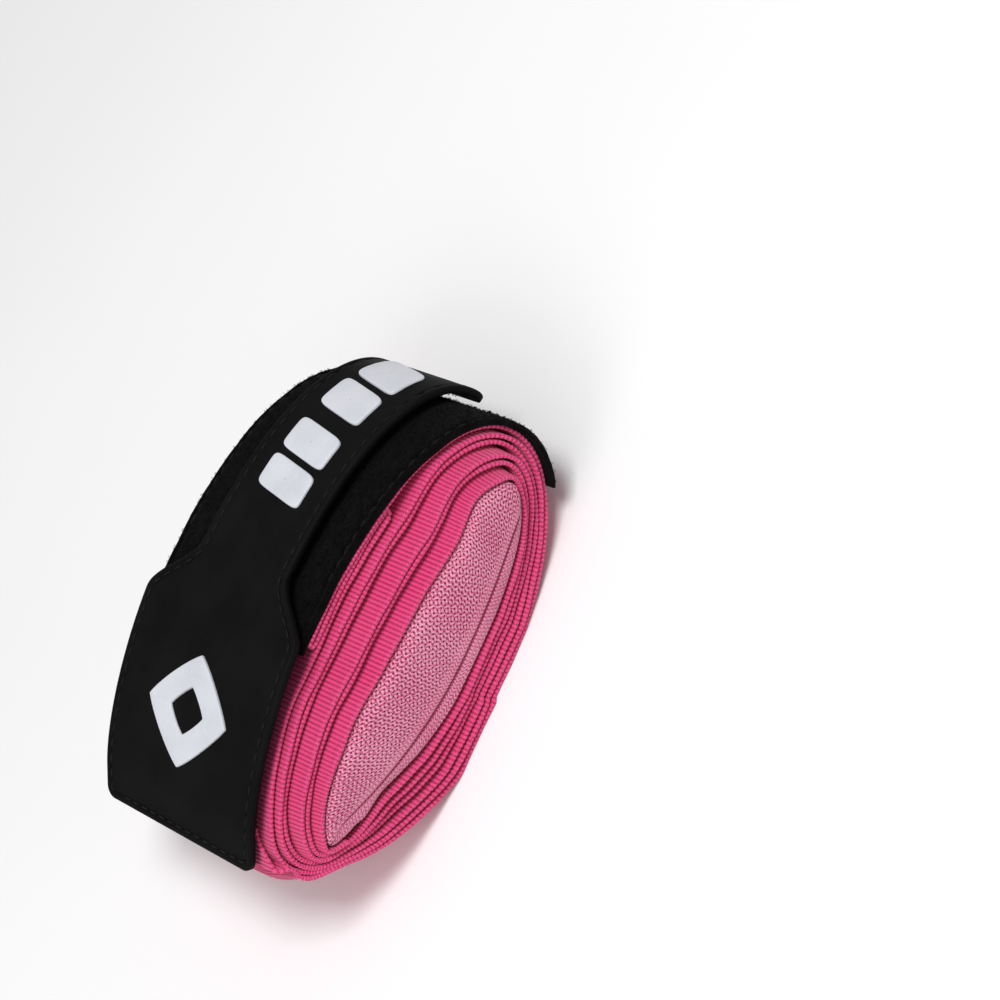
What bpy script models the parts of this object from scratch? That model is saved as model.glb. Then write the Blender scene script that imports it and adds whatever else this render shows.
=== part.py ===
"""A rolled hand wrap: an elastic band wound round a padded knuckle sleeve, closed by a rubber strap.

The roll lies on its broad side. +Z is up, towards the closing strap. +X runs along the roll, from the
strap's sewn end to its free end. +Y runs across the band, and the near (-Y) end shows the turns.
All sizes are in millimetres until a mesh is made.
"""

import math

import bmesh
import bpy
from mathutils import Vector

MM = 0.001

# ---- Driving dimensions ----
ROLL_LENGTH = 100.0
ROLL_THICKNESS = 38.0
ROUNDNESS = 2.15           # exponent of the roll's superellipse section
REST_HALF_LENGTH = 16.0    # half-length of the flat that the roll lies on

BAND_WIDTH = 50.0
BAND_THICKNESS = 0.9
BAND_SPACING = 0.25        # between one turn of the band and the next
FULL_TURNS = 6             # turns of the band between the strap and the padded sleeve
PLEAT_FOLD_X = -5.0        # outer fold of the pleat, under the loop patch
PLEAT_HAIRPIN_X = 25.0     # inner fold of the pleat
PLEAT_EASE = 15.0          # length over which the turns below ride up over the pleat
CORNER_REACH = 7.0         # how far the stiff sewn end stands out past the curve of the roll
SEWN_START_X = -43.0       # where the sewn end leaves the curve of the roll
LAP_REACHES = (-1.0, 3.5, 5.8)      # stations of the sewn end along that straight reach
SHOULDER_DROP = 2.6        # the band turns back under its sewn end by this much
SHOULDER_OUT = 0.4
BAND_OVERRUN_ANGLE = 25.0  # how far the last turn runs past a whole turn

SKEW_TOP = (14.5, 12.7, 12.7, 8.3, 8.3, 4.8)      # how far each upper half turn is pushed away, along +Y
SKEW_BOTTOM = (-1.5, -1.5, -1.0, 0.0, 0.0, 0.0)   # the same for the lower half turns

SLEEVE_WALL = 0.6
SLIT_HEIGHT = 3.8          # room for the flattened thumb loop
SLIT_CENTRE_Z = 13.6
SLIT_HALF_LENGTH = 35.0
SLEEVE_SKEW = 4.8
SLIT_CURL = 2.2            # rise of the slit's two ends over its middle
SLIT_TILT = 1.2
SLEEVE_START_ANGLE = 214.0
SLEEVE_SWEEP_ANGLE = 358.0
SLEEVE_STEP_ANGLE = 9.0
PALM_FOAM_ANGLES = (222.0, 340.0)
KNUCKLE_FOAM_ANGLES = (12.0, 168.0)

THUMB_LOOP_WIDTH = 15.0
THUMB_LOOP_LENGTH = 38.0
THUMB_LOOP_THICKNESS = 0.8
THUMB_LOOP_STEP = 6.0

PATCH_THICKNESS = 1.5
PATCH_START_X = -8.0
PATCH_END_ANGLE = -32.0

STRAP_WIDTH = 50.4
STRAP_SHIFT = 1.7           # the strap sits nearer -Y than the band under it
STRAP_THICKNESS = 1.6
NECK_WIDTH = 28.6
STRAP_CORNER_RADIUS = 2.6
TIP_CORNER_RADIUS = 3.0
FLARE_START_X = -8.0
FLARE_END_X = 5.0
STRAP_END_ANGLE = -6.0
TIP_DRIFT = 1.4            # the free end follows the skew of the band back towards -Y
LINING_THICKNESS = 0.6
HOOK_THICKNESS = 1.0
HOOK_MARGIN = 2.4
LINING_MARGIN = 1.5        # from the strap's sewn end to its lining
LINING_END_X = -15.0
HOOK_START_X = 1.5

BASE_HINGE_X = -41.0
NECK_HINGE_X = 8.0
TIP_HINGE_X = 35.0
HINGE_GAP = 0.4

SEAM_INSET = 1.9
SEAM_CORNER = 1.6          # the seam cuts the strap's corners by this much
SEAM_HINGE_GAP = 1.4       # from a hinge gap to the nearest thread
SEAM_STEP = 3.0
PATCH_SEAM_START_X = 7.0
PATCH_SEAM_STEP = 2.0
THREAD_RADIUS = 0.25

EMBLEM_LENGTH = 22.0
EMBLEM_WIDTH = 26.0
EMBLEM_HOLE_SHARE = 0.42
EMBLEM_CENTRE_X = -26.5
EMBLEM_STEPS = 4
RAISED_THICKNESS = 0.6
BAR_LENGTH = 6.4
BAR_WIDTH = 15.0
BAR_SLANT = 2.4
BAR_STEP = 1.1
BAR_REACHES = (-14.6, -5.8, 5.8, 14.6)      # bar centres along the strap, from the tip's hinge

CLEARANCE = 0.3            # between neighbouring pieces

# ---- Derived sizes ----
HALF_LENGTH = ROLL_LENGTH / 2
HALF_THICKNESS = ROLL_THICKNESS / 2
PITCH = BAND_THICKNESS + BAND_SPACING
STACK = PITCH * FULL_TURNS - BAND_SPACING + CLEARANCE
WIDE_LIFT = CLEARANCE + LINING_THICKNESS + CLEARANCE
HOOK_LIFT = CLEARANCE + PATCH_THICKNESS + CLEARANCE
NECK_LIFT = HOOK_LIFT + HOOK_THICKNESS + CLEARANCE
STRAP_MIDLINE_Y = SKEW_TOP[0] - STRAP_SHIFT

STEPS_PER_TURN = 44
STRAP_STEP = 2.5
RAIL_STEP = 1.0
SEWN_END_REACHES = (0.0, 0.2, 0.7, 1.4, 2.6)    # stations that follow the strap's round corners
FREE_END_REACHES = (3.0, 1.5, 0.6, 0.1)
SLOPE_STEP = 0.5           # half the angle over which the outline's slope is taken


def smooth(share):
    """Ease from 0 to 1."""
    share = min(1.0, max(0.0, share))
    return share * share * (3.0 - 2.0 * share)


def lerp(start, end, share):
    return start + (end - start) * share


# ---- The roll's section, in the XZ plane ----
def section(angle, inset):
    """A point on the roll's outline at an angle in degrees, moved in by inset."""
    cosine = math.cos(math.radians(angle))
    sine = math.sin(math.radians(angle))
    power = 2.0 / ROUNDNESS
    x = (HALF_LENGTH - inset) * math.copysign(abs(cosine) ** power, cosine)
    z = (HALF_THICKNESS - inset) * math.copysign(abs(sine) ** power, sine)
    if z < 0.0 and abs(x) < REST_HALF_LENGTH:
        z *= outline_share(REST_HALF_LENGTH) / outline_share(x)
    return Vector((x, HALF_THICKNESS + z))


def outline_share(x):
    """The outline's height at x, as a share of half the thickness."""
    return (1.0 - (abs(x) / HALF_LENGTH) ** ROUNDNESS) ** (1.0 / ROUNDNESS)


def angle_at_x(x):
    """The angle of the upper outline's point at x."""
    cosine = math.copysign((abs(x) / HALF_LENGTH) ** (ROUNDNESS / 2.0), x)
    return math.degrees(math.acos(cosine))


def layers_above(x):
    """How many layers lie over an upper half turn, counted from its own +X end."""
    past_hairpin = smooth((PLEAT_HAIRPIN_X + PLEAT_EASE - x) / PLEAT_EASE)
    past_fold = smooth((PLEAT_FOLD_X - x) / PLEAT_EASE)
    return 2.0 * past_hairpin - past_fold


def turn_inset(angle):
    """How deep the band lies at a winding angle, which grows inwards from 180 at the -X end."""
    turns = math.floor((angle - 180.0) / 360.0)
    if (angle - 180.0) % 360.0 > 180.0:
        turns += layers_above(section(angle, 0.0).x)
    return PITCH * max(0.0, turns)


def pick(values, index):
    return values[min(len(values) - 1, max(0, index))]


def turn_skew(angle):
    """How far the band is pushed along +Y at a winding angle."""
    half = math.floor((angle - 180.0) / 180.0)
    height = section(angle, 0.0).y / ROLL_THICKNESS
    on_left = math.cos(math.radians(angle)) < 0.0
    if half % 2 == 0:
        lower = pick(SKEW_BOTTOM, half // 2)
        upper = pick(SKEW_TOP, half // 2 - (1 if on_left else 0))
    else:
        upper = pick(SKEW_TOP, half // 2)
        lower = pick(SKEW_BOTTOM, half // 2 + (1 if on_left else 0))
    return lerp(lower, upper, height)


# ---- Solids ----
def material(name, color, roughness):
    """A plain finish."""
    finish = bpy.data.materials.new(name)
    finish.use_nodes = True
    shader = finish.node_tree.nodes["Principled BSDF"]
    shader.inputs["Base Color"].default_value = (*color, 1.0)
    shader.inputs["Roughness"].default_value = roughness
    shader.inputs["Metallic"].default_value = 0.0
    finish.diffuse_color = (*color, 1.0)
    return finish


def add_solid(name, rings, finish, closed=False):
    """Skin a row of rings of points into one closed solid."""
    mesh = bmesh.new()
    rows = [[mesh.verts.new(Vector(point) * MM) for point in ring] for ring in rings]
    count = len(rows[0])
    spans = len(rows) if closed else len(rows) - 1
    for row in range(spans):
        here, there = rows[row], rows[(row + 1) % len(rows)]
        for corner in range(count):
            following = (corner + 1) % count
            mesh.faces.new((here[corner], here[following], there[following], there[corner]))
    if not closed:
        mesh.faces.new(rows[0])
        mesh.faces.new(rows[-1])
    return finish_solid(name, mesh, finish)


def finish_solid(name, mesh, finish):
    """Turn a bmesh into a named object with its faces pointing out."""
    bmesh.ops.triangulate(mesh, faces=mesh.faces)
    bmesh.ops.recalc_face_normals(mesh, faces=mesh.faces)
    data = bpy.data.meshes.new(name)
    mesh.to_mesh(data)
    mesh.free()
    data.materials.append(finish)
    data.shade_smooth()
    data.set_sharp_from_angle(angle=math.radians(40.0))
    solid = bpy.data.objects.new(name, data)
    bpy.context.scene.collection.objects.link(solid)
    return solid


def band_rings(stations, lows, highs):
    """Rings of a flat band: each station is a pair of points in XZ, from low to high Y."""
    rings = []
    for (outer, inner), low, high in zip(stations, lows, highs):
        rings.append([
            (outer.x, low, outer.y),
            (outer.x, high, outer.y),
            (inner.x, high, inner.y),
            (inner.x, low, inner.y),
        ])
    return rings


# ---- The elastic band ----
def turn_station(angle):
    inset = turn_inset(angle)
    return section(angle, inset), section(angle, inset + BAND_THICKNESS)


def fold_stations(angle, depth, towards):
    """A tight fold between two layers: towards is 1 at the fold on the left, -1 at the right one."""
    inner_radius = BAND_SPACING / 2
    outer_radius = inner_radius + BAND_THICKNESS
    centre = section(angle, depth + outer_radius)
    outward = (section(angle, 0.0) - section(angle, PITCH)).normalized()
    along = Vector((-outward.y, outward.x)) * towards
    stations = []
    for turn in (45.0, 90.0, 135.0):
        way = outward * math.cos(math.radians(turn)) + along * math.sin(math.radians(turn))
        outer, inner = centre + way * outer_radius, centre + way * inner_radius
        stations.append((outer, inner) if towards > 0 else (inner, outer))
    return stations


def spread(start, end, step):
    """Evenly spaced values from start to end."""
    count = max(2, round(abs(end - start) / step) + 1)
    return [lerp(start, end, index / (count - 1)) for index in range(count)]


def lap_path():
    """Points and outward normals of the stiff sewn end, from its corner to the curve of the roll."""
    angle = angle_at_x(SEWN_START_X)
    start = section(angle, 0.0)
    along = (section(angle + SLOPE_STEP, 0.0) - section(angle - SLOPE_STEP, 0.0)).normalized()
    outward = Vector((along.y, -along.x))
    return start, along, outward


def make_band(finish):
    """The whole band, from its sewn end inwards to the padded sleeve."""
    step = 360.0 / STEPS_PER_TURN
    stations, skews = [], []

    def add(station, skew):
        stations.append(station)
        skews.append(skew)

    start, along, outward = lap_path()
    for reach in LAP_REACHES:
        point = start + along * reach
        add((point, point - outward * BAND_THICKNESS), SKEW_TOP[0])
    corner = start + along * CORNER_REACH
    add((corner, corner - outward * BAND_THICKNESS - along * BAND_THICKNESS), SKEW_TOP[0])
    shoulder = corner - outward * SHOULDER_DROP + along * SHOULDER_OUT
    add((shoulder, shoulder - along * BAND_THICKNESS), SKEW_TOP[0] * 0.9)

    fold_angle = 360.0 + angle_at_x(PLEAT_FOLD_X)
    hairpin_angle = 360.0 + angle_at_x(PLEAT_HAIRPIN_X)
    for angle in spread(180.0, fold_angle, step):
        add((section(angle, 0.0), section(angle, BAND_THICKNESS)), turn_skew(angle))
    for station in fold_stations(fold_angle, 0.0, 1):
        add(station, SKEW_TOP[0])
    for angle in spread(fold_angle, hairpin_angle, step):
        add((section(angle, PITCH + BAND_THICKNESS), section(angle, PITCH)), SKEW_TOP[0])
    for station in fold_stations(hairpin_angle, PITCH, -1):
        add(station, SKEW_TOP[0])
    last_angle = 180.0 + 360.0 * FULL_TURNS + BAND_OVERRUN_ANGLE
    for angle in spread(hairpin_angle, last_angle, step):
        add(turn_station(angle), turn_skew(angle))
    lows = [skew - BAND_WIDTH / 2 for skew in skews]
    highs = [skew + BAND_WIDTH / 2 for skew in skews]
    return add_solid("elastic_band", band_rings(stations, lows, highs), finish)


# ---- The padded sleeve, its foam and the thumb loop ----
def pad_outline(angle):
    """The padded sleeve's outer face."""
    inset = STACK + CLEARANCE
    if 0.0 < angle < 180.0:
        inset = PITCH * (FULL_TURNS - 1 + layers_above(section(angle, 0.0).x)) + BAND_THICKNESS + CLEARANCE
        inset = max(inset, STACK + CLEARANCE - PITCH)
    if 180.0 <= angle < 215.0:
        inset += PITCH
    return section(angle, inset)


def slit_rise(x):
    """How far the slit lies above its middle at x."""
    share = x / SLIT_HALF_LENGTH
    return SLIT_CURL * share ** 2 - SLIT_TILT * share


def slit_point(angle):
    """The edge of the slit between the sleeve's two walls."""
    x = SLIT_HALF_LENGTH * math.cos(math.radians(angle))
    half = SLIT_HEIGHT / 2 * math.sqrt(max(0.0, 1.0 - (x / SLIT_HALF_LENGTH) ** 2))
    rise = slit_rise(x)
    bend = math.copysign(half, math.sin(math.radians(angle))) if half > 0.0 else 0.0
    return Vector((x, SLIT_CENTRE_Z + rise + bend))


def pad_rings(angles, margin, side_margin):
    """Rings of a layer of the padded sleeve, margin inside its faces."""
    rings = []
    for angle in angles:
        outer, inner = pad_outline(angle), slit_point(angle)
        way = (inner - outer).normalized()
        outer, inner = outer + way * margin, inner - way * margin
        skew = lerp(0.0, SLEEVE_SKEW, outer.y / ROLL_THICKNESS)
        low, high = skew - BAND_WIDTH / 2 + side_margin, skew + BAND_WIDTH / 2 - side_margin
        rings.append([
            (outer.x, low, outer.y),
            (outer.x, high, outer.y),
            (inner.x, high, inner.y),
            (inner.x, low, inner.y),
        ])
    return rings


def make_sleeve(finish):
    """The mesh sleeve: a flat tube, open at both ends, once round the slit."""
    angles = spread(SLEEVE_START_ANGLE, SLEEVE_START_ANGLE + SLEEVE_SWEEP_ANGLE, SLEEVE_STEP_ANGLE)
    angles = [angle % 360.0 for angle in angles]
    skin = pad_rings(angles, 0.0, 0.0)
    lining = pad_rings(angles, SLEEVE_WALL, SLEEVE_WALL)
    mesh = bmesh.new()
    outer_rows = [[mesh.verts.new(Vector(point) * MM) for point in ring] for ring in skin]
    inner_rows = [[mesh.verts.new(Vector(point) * MM) for point in ring] for ring in lining]
    for rows in (outer_rows, inner_rows):
        for here, there in zip(rows, rows[1:]):
            for corner in range(4):
                following = (corner + 1) % 4
                mesh.faces.new((here[corner], here[following], there[following], there[corner]))
    for outer_row, inner_row in ((outer_rows[0], inner_rows[0]), (outer_rows[-1], inner_rows[-1])):
        for corner in range(4):
            following = (corner + 1) % 4
            mesh.faces.new((outer_row[corner], outer_row[following], inner_row[following], inner_row[corner]))
    return finish_solid("pad_sleeve", mesh, finish)


def make_foams(finish):
    """The foam inside the sleeve: a thin palm strip and a thick knuckle cushion."""
    margin = SLEEVE_WALL + CLEARANCE
    foams = []
    for name, (start, end) in (("palm_foam", PALM_FOAM_ANGLES), ("knuckle_foam", KNUCKLE_FOAM_ANGLES)):
        rings = pad_rings(spread(start, end, SLEEVE_STEP_ANGLE), margin, margin)
        foams.append(add_solid(name, rings, finish))
    return foams


def make_thumb_loop(finish):
    """The thumb loop, folded flat inside the slit."""
    half = THUMB_LOOP_LENGTH / 2
    gap = THUMB_LOOP_THICKNESS / 4
    stations = []

    def middle(x):
        return SLIT_CENTRE_Z + slit_rise(x)

    for x in spread(-half, half, THUMB_LOOP_STEP):
        stations.append((Vector((x, middle(x) - gap - THUMB_LOOP_THICKNESS)), Vector((x, middle(x) - gap))))
    for turn in (-45.0, 0.0, 45.0):
        way = Vector((math.cos(math.radians(turn)), math.sin(math.radians(turn))))
        centre = Vector((half, middle(half)))
        stations.append((centre + way * (gap + THUMB_LOOP_THICKNESS), centre + way * gap))
    for x in spread(half, -half, THUMB_LOOP_STEP):
        stations.append((Vector((x, middle(x) + gap + THUMB_LOOP_THICKNESS)), Vector((x, middle(x) + gap))))
    skew = lerp(0.0, SLEEVE_SKEW, SLIT_CENTRE_Z / ROLL_THICKNESS)
    lows = [skew - THUMB_LOOP_WIDTH / 2] * len(stations)
    highs = [skew + THUMB_LOOP_WIDTH / 2] * len(stations)
    return add_solid("thumb_loop", band_rings(stations, lows, highs), finish)


# ---- The strap and the loop patch, laid over the roll ----
class Rail:
    """The line over the top of the roll that the strap and the patch follow."""

    def __init__(self):
        start, along, outward = lap_path()
        self.points, self.normals = [], []
        for reach in spread(CORNER_REACH, RAIL_STEP * 0.6, RAIL_STEP):
            self.points.append(start + along * reach)
            self.normals.append(outward)
        for angle in spread(angle_at_x(SEWN_START_X), PATCH_END_ANGLE, RAIL_STEP):
            self.points.append(section(angle, 0.0))
            slope = section(angle + SLOPE_STEP, 0.0) - section(angle - SLOPE_STEP, 0.0)
            self.normals.append(Vector((slope.y, -slope.x)).normalized())
        self.lengths = [0.0]
        for here, there in zip(self.points, self.points[1:]):
            self.lengths.append(self.lengths[-1] + (there - here).length)

    def at(self, length):
        """The point and normal at a length along the rail."""
        length = min(self.lengths[-1], max(0.0, length))
        row = max(1, next(row for row, reach in enumerate(self.lengths) if reach >= length))
        share = (length - self.lengths[row - 1]) / (self.lengths[row] - self.lengths[row - 1])
        point = self.points[row - 1].lerp(self.points[row], share)
        normal = self.normals[row - 1].lerp(self.normals[row], share).normalized()
        return point, normal

    def length_at_x(self, x):
        """The length along the rail where it passes x on the top of the roll."""
        row = next(row for row, point in enumerate(self.points) if point.x >= x)
        return self.lengths[row]

    def length_at_angle(self, angle):
        target = section(angle, 0.0)
        row = min(range(len(self.points)), key=lambda index: (self.points[index] - target).length)
        return self.lengths[row]


RAIL = Rail()
STRAP_LENGTH = RAIL.length_at_angle(STRAP_END_ANGLE)
HINGES = [RAIL.length_at_x(x) for x in (BASE_HINGE_X, NECK_HINGE_X, TIP_HINGE_X)]
SPANS = {
    "root": (0.0, HINGES[0] - HINGE_GAP / 2),
    "mid": (HINGES[0] + HINGE_GAP / 2, HINGES[1] - HINGE_GAP / 2),
    "neck": (HINGES[1] + HINGE_GAP / 2, HINGES[2] - HINGE_GAP / 2),
    "tip": (HINGES[2] + HINGE_GAP / 2, STRAP_LENGTH),
}


def cover_lift(length):
    """The height of the rubber cover's underside over the band, which grows from the sewn end to the neck."""
    start, end = HINGES[0], RAIL.length_at_x(FLARE_END_X)
    return lerp(WIDE_LIFT, NECK_LIFT, smooth((length - start) / (end - start)))


def lining_lift(length):
    """The height of the lining's underside over the band."""
    return cover_lift(length) - CLEARANCE - LINING_THICKNESS


def strap_half_width(length):
    """Half the strap's width, with its round corners and its flare."""
    start, end = RAIL.length_at_x(FLARE_START_X), RAIL.length_at_x(FLARE_END_X)
    half = lerp(STRAP_WIDTH, NECK_WIDTH, smooth((length - start) / (end - start))) / 2
    for radius, reach in ((STRAP_CORNER_RADIUS, length), (TIP_CORNER_RADIUS, STRAP_LENGTH - length)):
        if reach < radius:
            half -= radius - math.sqrt(radius ** 2 - (radius - reach) ** 2)
    return half


def strap_middle(length):
    """The strap's centre line, which drifts towards -Y at the free end."""
    start = RAIL.length_at_x(PLEAT_HAIRPIN_X)
    return STRAP_MIDLINE_Y - TIP_DRIFT * smooth((length - start) / (STRAP_LENGTH - start))


def laid_rings(lengths, lift, thickness, half_width):
    """Rings of a layer that lies on the rail."""
    rings = []
    for length in lengths:
        point, normal = RAIL.at(length)
        under = point + normal * lift(length)
        over = under + normal * thickness
        low, high = strap_middle(length) - half_width(length), strap_middle(length) + half_width(length)
        rings.append([
            (over.x, low, over.y),
            (over.x, high, over.y),
            (under.x, high, under.y),
            (under.x, low, under.y),
        ])
    return rings


def strap_lengths(start, end):
    """Stations along the strap, closer at its round corners."""
    lengths = spread(start, end, STRAP_STEP)
    if start == 0.0:
        spare = SEWN_END_REACHES[-1] + RAIL_STEP
        lengths = [*SEWN_END_REACHES, *[length for length in lengths if length > spare]]
    if end == STRAP_LENGTH:
        spare = FREE_END_REACHES[0] + RAIL_STEP
        lengths = [length for length in lengths if length < end - spare]
        lengths += [end - reach for reach in FREE_END_REACHES]
    return lengths


def make_covers(finish):
    """The moulded rubber strap, one solid for each rigid stretch."""
    solids = {}
    for body, (start, end) in SPANS.items():
        rings = laid_rings(strap_lengths(start, end), cover_lift, STRAP_THICKNESS, strap_half_width)
        solids[body] = [add_solid(f"strap_cover_{body}", rings, finish)]
    return solids


def make_linings(finish):
    """The webbing under the strap's wide part."""
    last = RAIL.length_at_x(LINING_END_X)
    spans = {"root": (LINING_MARGIN, SPANS["root"][1]), "mid": (SPANS["mid"][0], last)}
    solids = {}
    for body, (start, end) in spans.items():
        rings = laid_rings(spread(start, end, STRAP_STEP), lining_lift, LINING_THICKNESS,
                           lambda length: STRAP_WIDTH / 2 - HOOK_MARGIN)
        solids[body] = [add_solid(f"strap_lining_{body}", rings, finish)]
    return solids


def make_hooks(finish):
    """The hook tape under the strap's neck."""
    first = RAIL.length_at_x(HOOK_START_X)
    spans = {
        "mid": (first, SPANS["mid"][1]),
        "neck": SPANS["neck"],
        "tip": (SPANS["tip"][0], STRAP_LENGTH - HOOK_MARGIN),
    }
    solids = {}
    for body, (start, end) in spans.items():
        rings = laid_rings(spread(start, end, STRAP_STEP), lambda length: HOOK_LIFT, HOOK_THICKNESS,
                           lambda length: NECK_WIDTH / 2 - HOOK_MARGIN)
        solids[body] = [add_solid(f"hook_tape_{body}", rings, finish)]
    return solids


def make_patch(finish):
    """The loop patch, sewn over the band's last turn."""
    start, end = RAIL.length_at_x(PATCH_START_X), RAIL.lengths[-1]
    rings = []
    for length in spread(start, end, STRAP_STEP):
        point, normal = RAIL.at(length)
        under, over = point + normal * CLEARANCE, point + normal * (CLEARANCE + PATCH_THICKNESS)
        skew = band_skew_on_rail(point)
        low, high = skew - BAND_WIDTH / 2, skew + BAND_WIDTH / 2
        rings.append([
            (over.x, low, over.y),
            (over.x, high, over.y),
            (under.x, high, under.y),
            (under.x, low, under.y),
        ])
    return add_solid("loop_patch", rings, finish)


def band_skew_on_rail(point):
    """The band's own push along +Y, under a point of the rail."""
    return lerp(SKEW_BOTTOM[0], SKEW_TOP[0], point.y / ROLL_THICKNESS)


# ---- Threads and raised pieces ----
def thread(name, path, finish):
    """A thread of square section along points that each carry their surface normal."""
    rings = []
    for row, (point, normal) in enumerate(path):
        before, after = path[max(0, row - 1)][0], path[min(len(path) - 1, row + 1)][0]
        along = (after - before).normalized()
        side = along.cross(normal).normalized()
        up = side.cross(along).normalized()
        corners = ((1, 1), (-1, 1), (-1, -1), (1, -1))
        rings.append([point + (side * across + up * rise) * THREAD_RADIUS for across, rise in corners])
    return add_solid(name, rings, finish)


def strap_top(length, across, lift):
    """A point over the strap's outer face and its normal, across mm from the centre line."""
    point, normal = RAIL.at(length)
    point = point + normal * (cover_lift(length) + STRAP_THICKNESS + lift)
    return Vector((point.x, strap_middle(length) + across, point.y)), Vector((normal.x, 0.0, normal.y))


def make_seams(finish):
    """The border stitching, one thread for each stretch of it."""
    lift = CLEARANCE + THREAD_RADIUS

    def edge(length, side):
        return strap_top(length, side * (strap_half_width(length) - SEAM_INSET), lift)

    def run(start, end, side):
        return [edge(length, side) for length in spread(start, end, SEAM_STEP)]

    def end_run(length):
        half = strap_half_width(length) - SEAM_INSET - RAIL_STEP
        return [strap_top(length, across, lift) for across in spread(-half, half, SEAM_STEP * 2)]

    solids = {"root": [], "mid": [], "neck": [], "tip": []}
    start, end = SPANS["root"]
    first, last = SEAM_INSET + SEAM_CORNER, end - SEAM_HINGE_GAP
    path = run(last, first, -1) + end_run(SEAM_INSET) + run(first, last, 1)
    solids["root"].append(thread("strap_seam_root", path, finish))
    for body in ("mid", "neck"):
        start, end = SPANS[body]
        for label, side in (("near", -1), ("far", 1)):
            name = f"strap_seam_{body}_{label}"
            solids[body].append(thread(name, run(start + SEAM_HINGE_GAP, end - SEAM_HINGE_GAP, side), finish))
    start, end = SPANS["tip"]
    first, last = start + SEAM_HINGE_GAP, end - SEAM_INSET
    path = run(first, last - SEAM_CORNER, -1) + end_run(last) + run(last - SEAM_CORNER, first, 1)
    solids["tip"].append(thread("strap_seam_tip", path, finish))
    return solids


def make_patch_seams(finish):
    """The stitching along the loop patch's two long edges."""
    start, end = RAIL.length_at_x(PATCH_SEAM_START_X), RAIL.lengths[-1] - SEAM_INSET
    lift = 2 * CLEARANCE + PATCH_THICKNESS + THREAD_RADIUS
    seams = []
    for label, side in (("near", -1), ("far", 1)):
        path = []
        for length in spread(start, end, PATCH_SEAM_STEP):
            point, normal = RAIL.at(length)
            across = band_skew_on_rail(point) + side * (BAND_WIDTH / 2 - SEAM_INSET)
            point = point + normal * lift
            path.append((Vector((point.x, across, point.y)), Vector((normal.x, 0.0, normal.y))))
        seams.append(thread(f"patch_seam_{label}", path, finish))
    return seams


def raised(name, outline, finish, hole=None):
    """A raised piece on the strap: an outline of (length, across) points, with an optional hole."""
    low, high = CLEARANCE, CLEARANCE + RAISED_THICKNESS
    mesh = bmesh.new()

    def row(points, lift):
        return [mesh.verts.new(strap_top(length, across, lift)[0] * MM) for length, across in points]

    def wall(lower, upper):
        for corner in range(len(lower)):
            following = (corner + 1) % len(lower)
            mesh.faces.new((lower[corner], lower[following], upper[following], upper[corner]))

    base, top = row(outline, low), row(outline, high)
    wall(base, top)
    if hole is None:
        mesh.faces.new(base)
        mesh.faces.new(top)
    else:
        hole_base, hole_top = row(hole, low), row(hole, high)
        wall(hole_base, hole_top)
        wall(base, hole_base)
        wall(top, hole_top)
    return finish_solid(name, mesh, finish)


def make_emblem(finish):
    """A plain diamond ring on the wide part."""
    centre = RAIL.length_at_x(EMBLEM_CENTRE_X)

    def diamond(share):
        points = []
        corners = ((1, 0), (0, 1), (-1, 0), (0, -1))
        for (x, y), (next_x, next_y) in zip(corners, (*corners[1:], corners[0])):
            for step in range(EMBLEM_STEPS):
                along = lerp(x, next_x, step / EMBLEM_STEPS) * EMBLEM_LENGTH / 2 * share
                across = lerp(y, next_y, step / EMBLEM_STEPS) * EMBLEM_WIDTH / 2 * share
                points.append((centre + along, across))
        return points

    return raised("emblem", diamond(1.0), finish, diamond(EMBLEM_HOLE_SHARE))


def make_bars(finish):
    """Plain slanted bars along the neck, each laid over the curve of the strap."""
    solids = {"neck": [], "tip": []}
    low, high = CLEARANCE, CLEARANCE + RAISED_THICKNESS
    half_width = BAR_WIDTH / 2
    for number, centre in enumerate([HINGES[2] + reach for reach in BAR_REACHES], start=1):
        rings = []
        for reach in spread(-BAR_LENGTH / 2, BAR_LENGTH / 2, BAR_STEP):
            near, far = centre + reach - BAR_SLANT / 2, centre + reach + BAR_SLANT / 2
            corners = ((near, -half_width, high), (centre + reach, 0.0, high), (far, half_width, high),
                       (far, half_width, low), (centre + reach, 0.0, low), (near, -half_width, low))
            rings.append([strap_top(length, across, lift)[0] for length, across, lift in corners])
        body = "neck" if centre < HINGES[2] else "tip"
        solids[body].append(add_solid(f"bar_{number}", rings, finish))
    return solids


# ---- Placing ----
def hinge_point(length):
    """A hinge line on the strap's outer face, so that a peeled stretch opens and doesn't bind."""
    point, normal = RAIL.at(length)
    point = point + normal * (cover_lift(length) + STRAP_THICKNESS)
    return Vector((point.x, strap_middle(length), point.y)) * MM


def bottom_centre(solids):
    """The bottom centre of the box round all solids."""
    points = [vertex.co for solid in solids for vertex in solid.data.vertices]
    lows = [min(point[axis] for point in points) for axis in range(3)]
    highs = [max(point[axis] for point in points) for axis in range(3)]
    return Vector(((lows[0] + highs[0]) / 2, (lows[1] + highs[1]) / 2, lows[2]))


def place(solid, pivot, parent):
    """Put a solid's origin on its pivot and hang it on its parent."""
    for vertex in solid.data.vertices:
        vertex.co -= pivot
    solid.parent = parent


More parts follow.
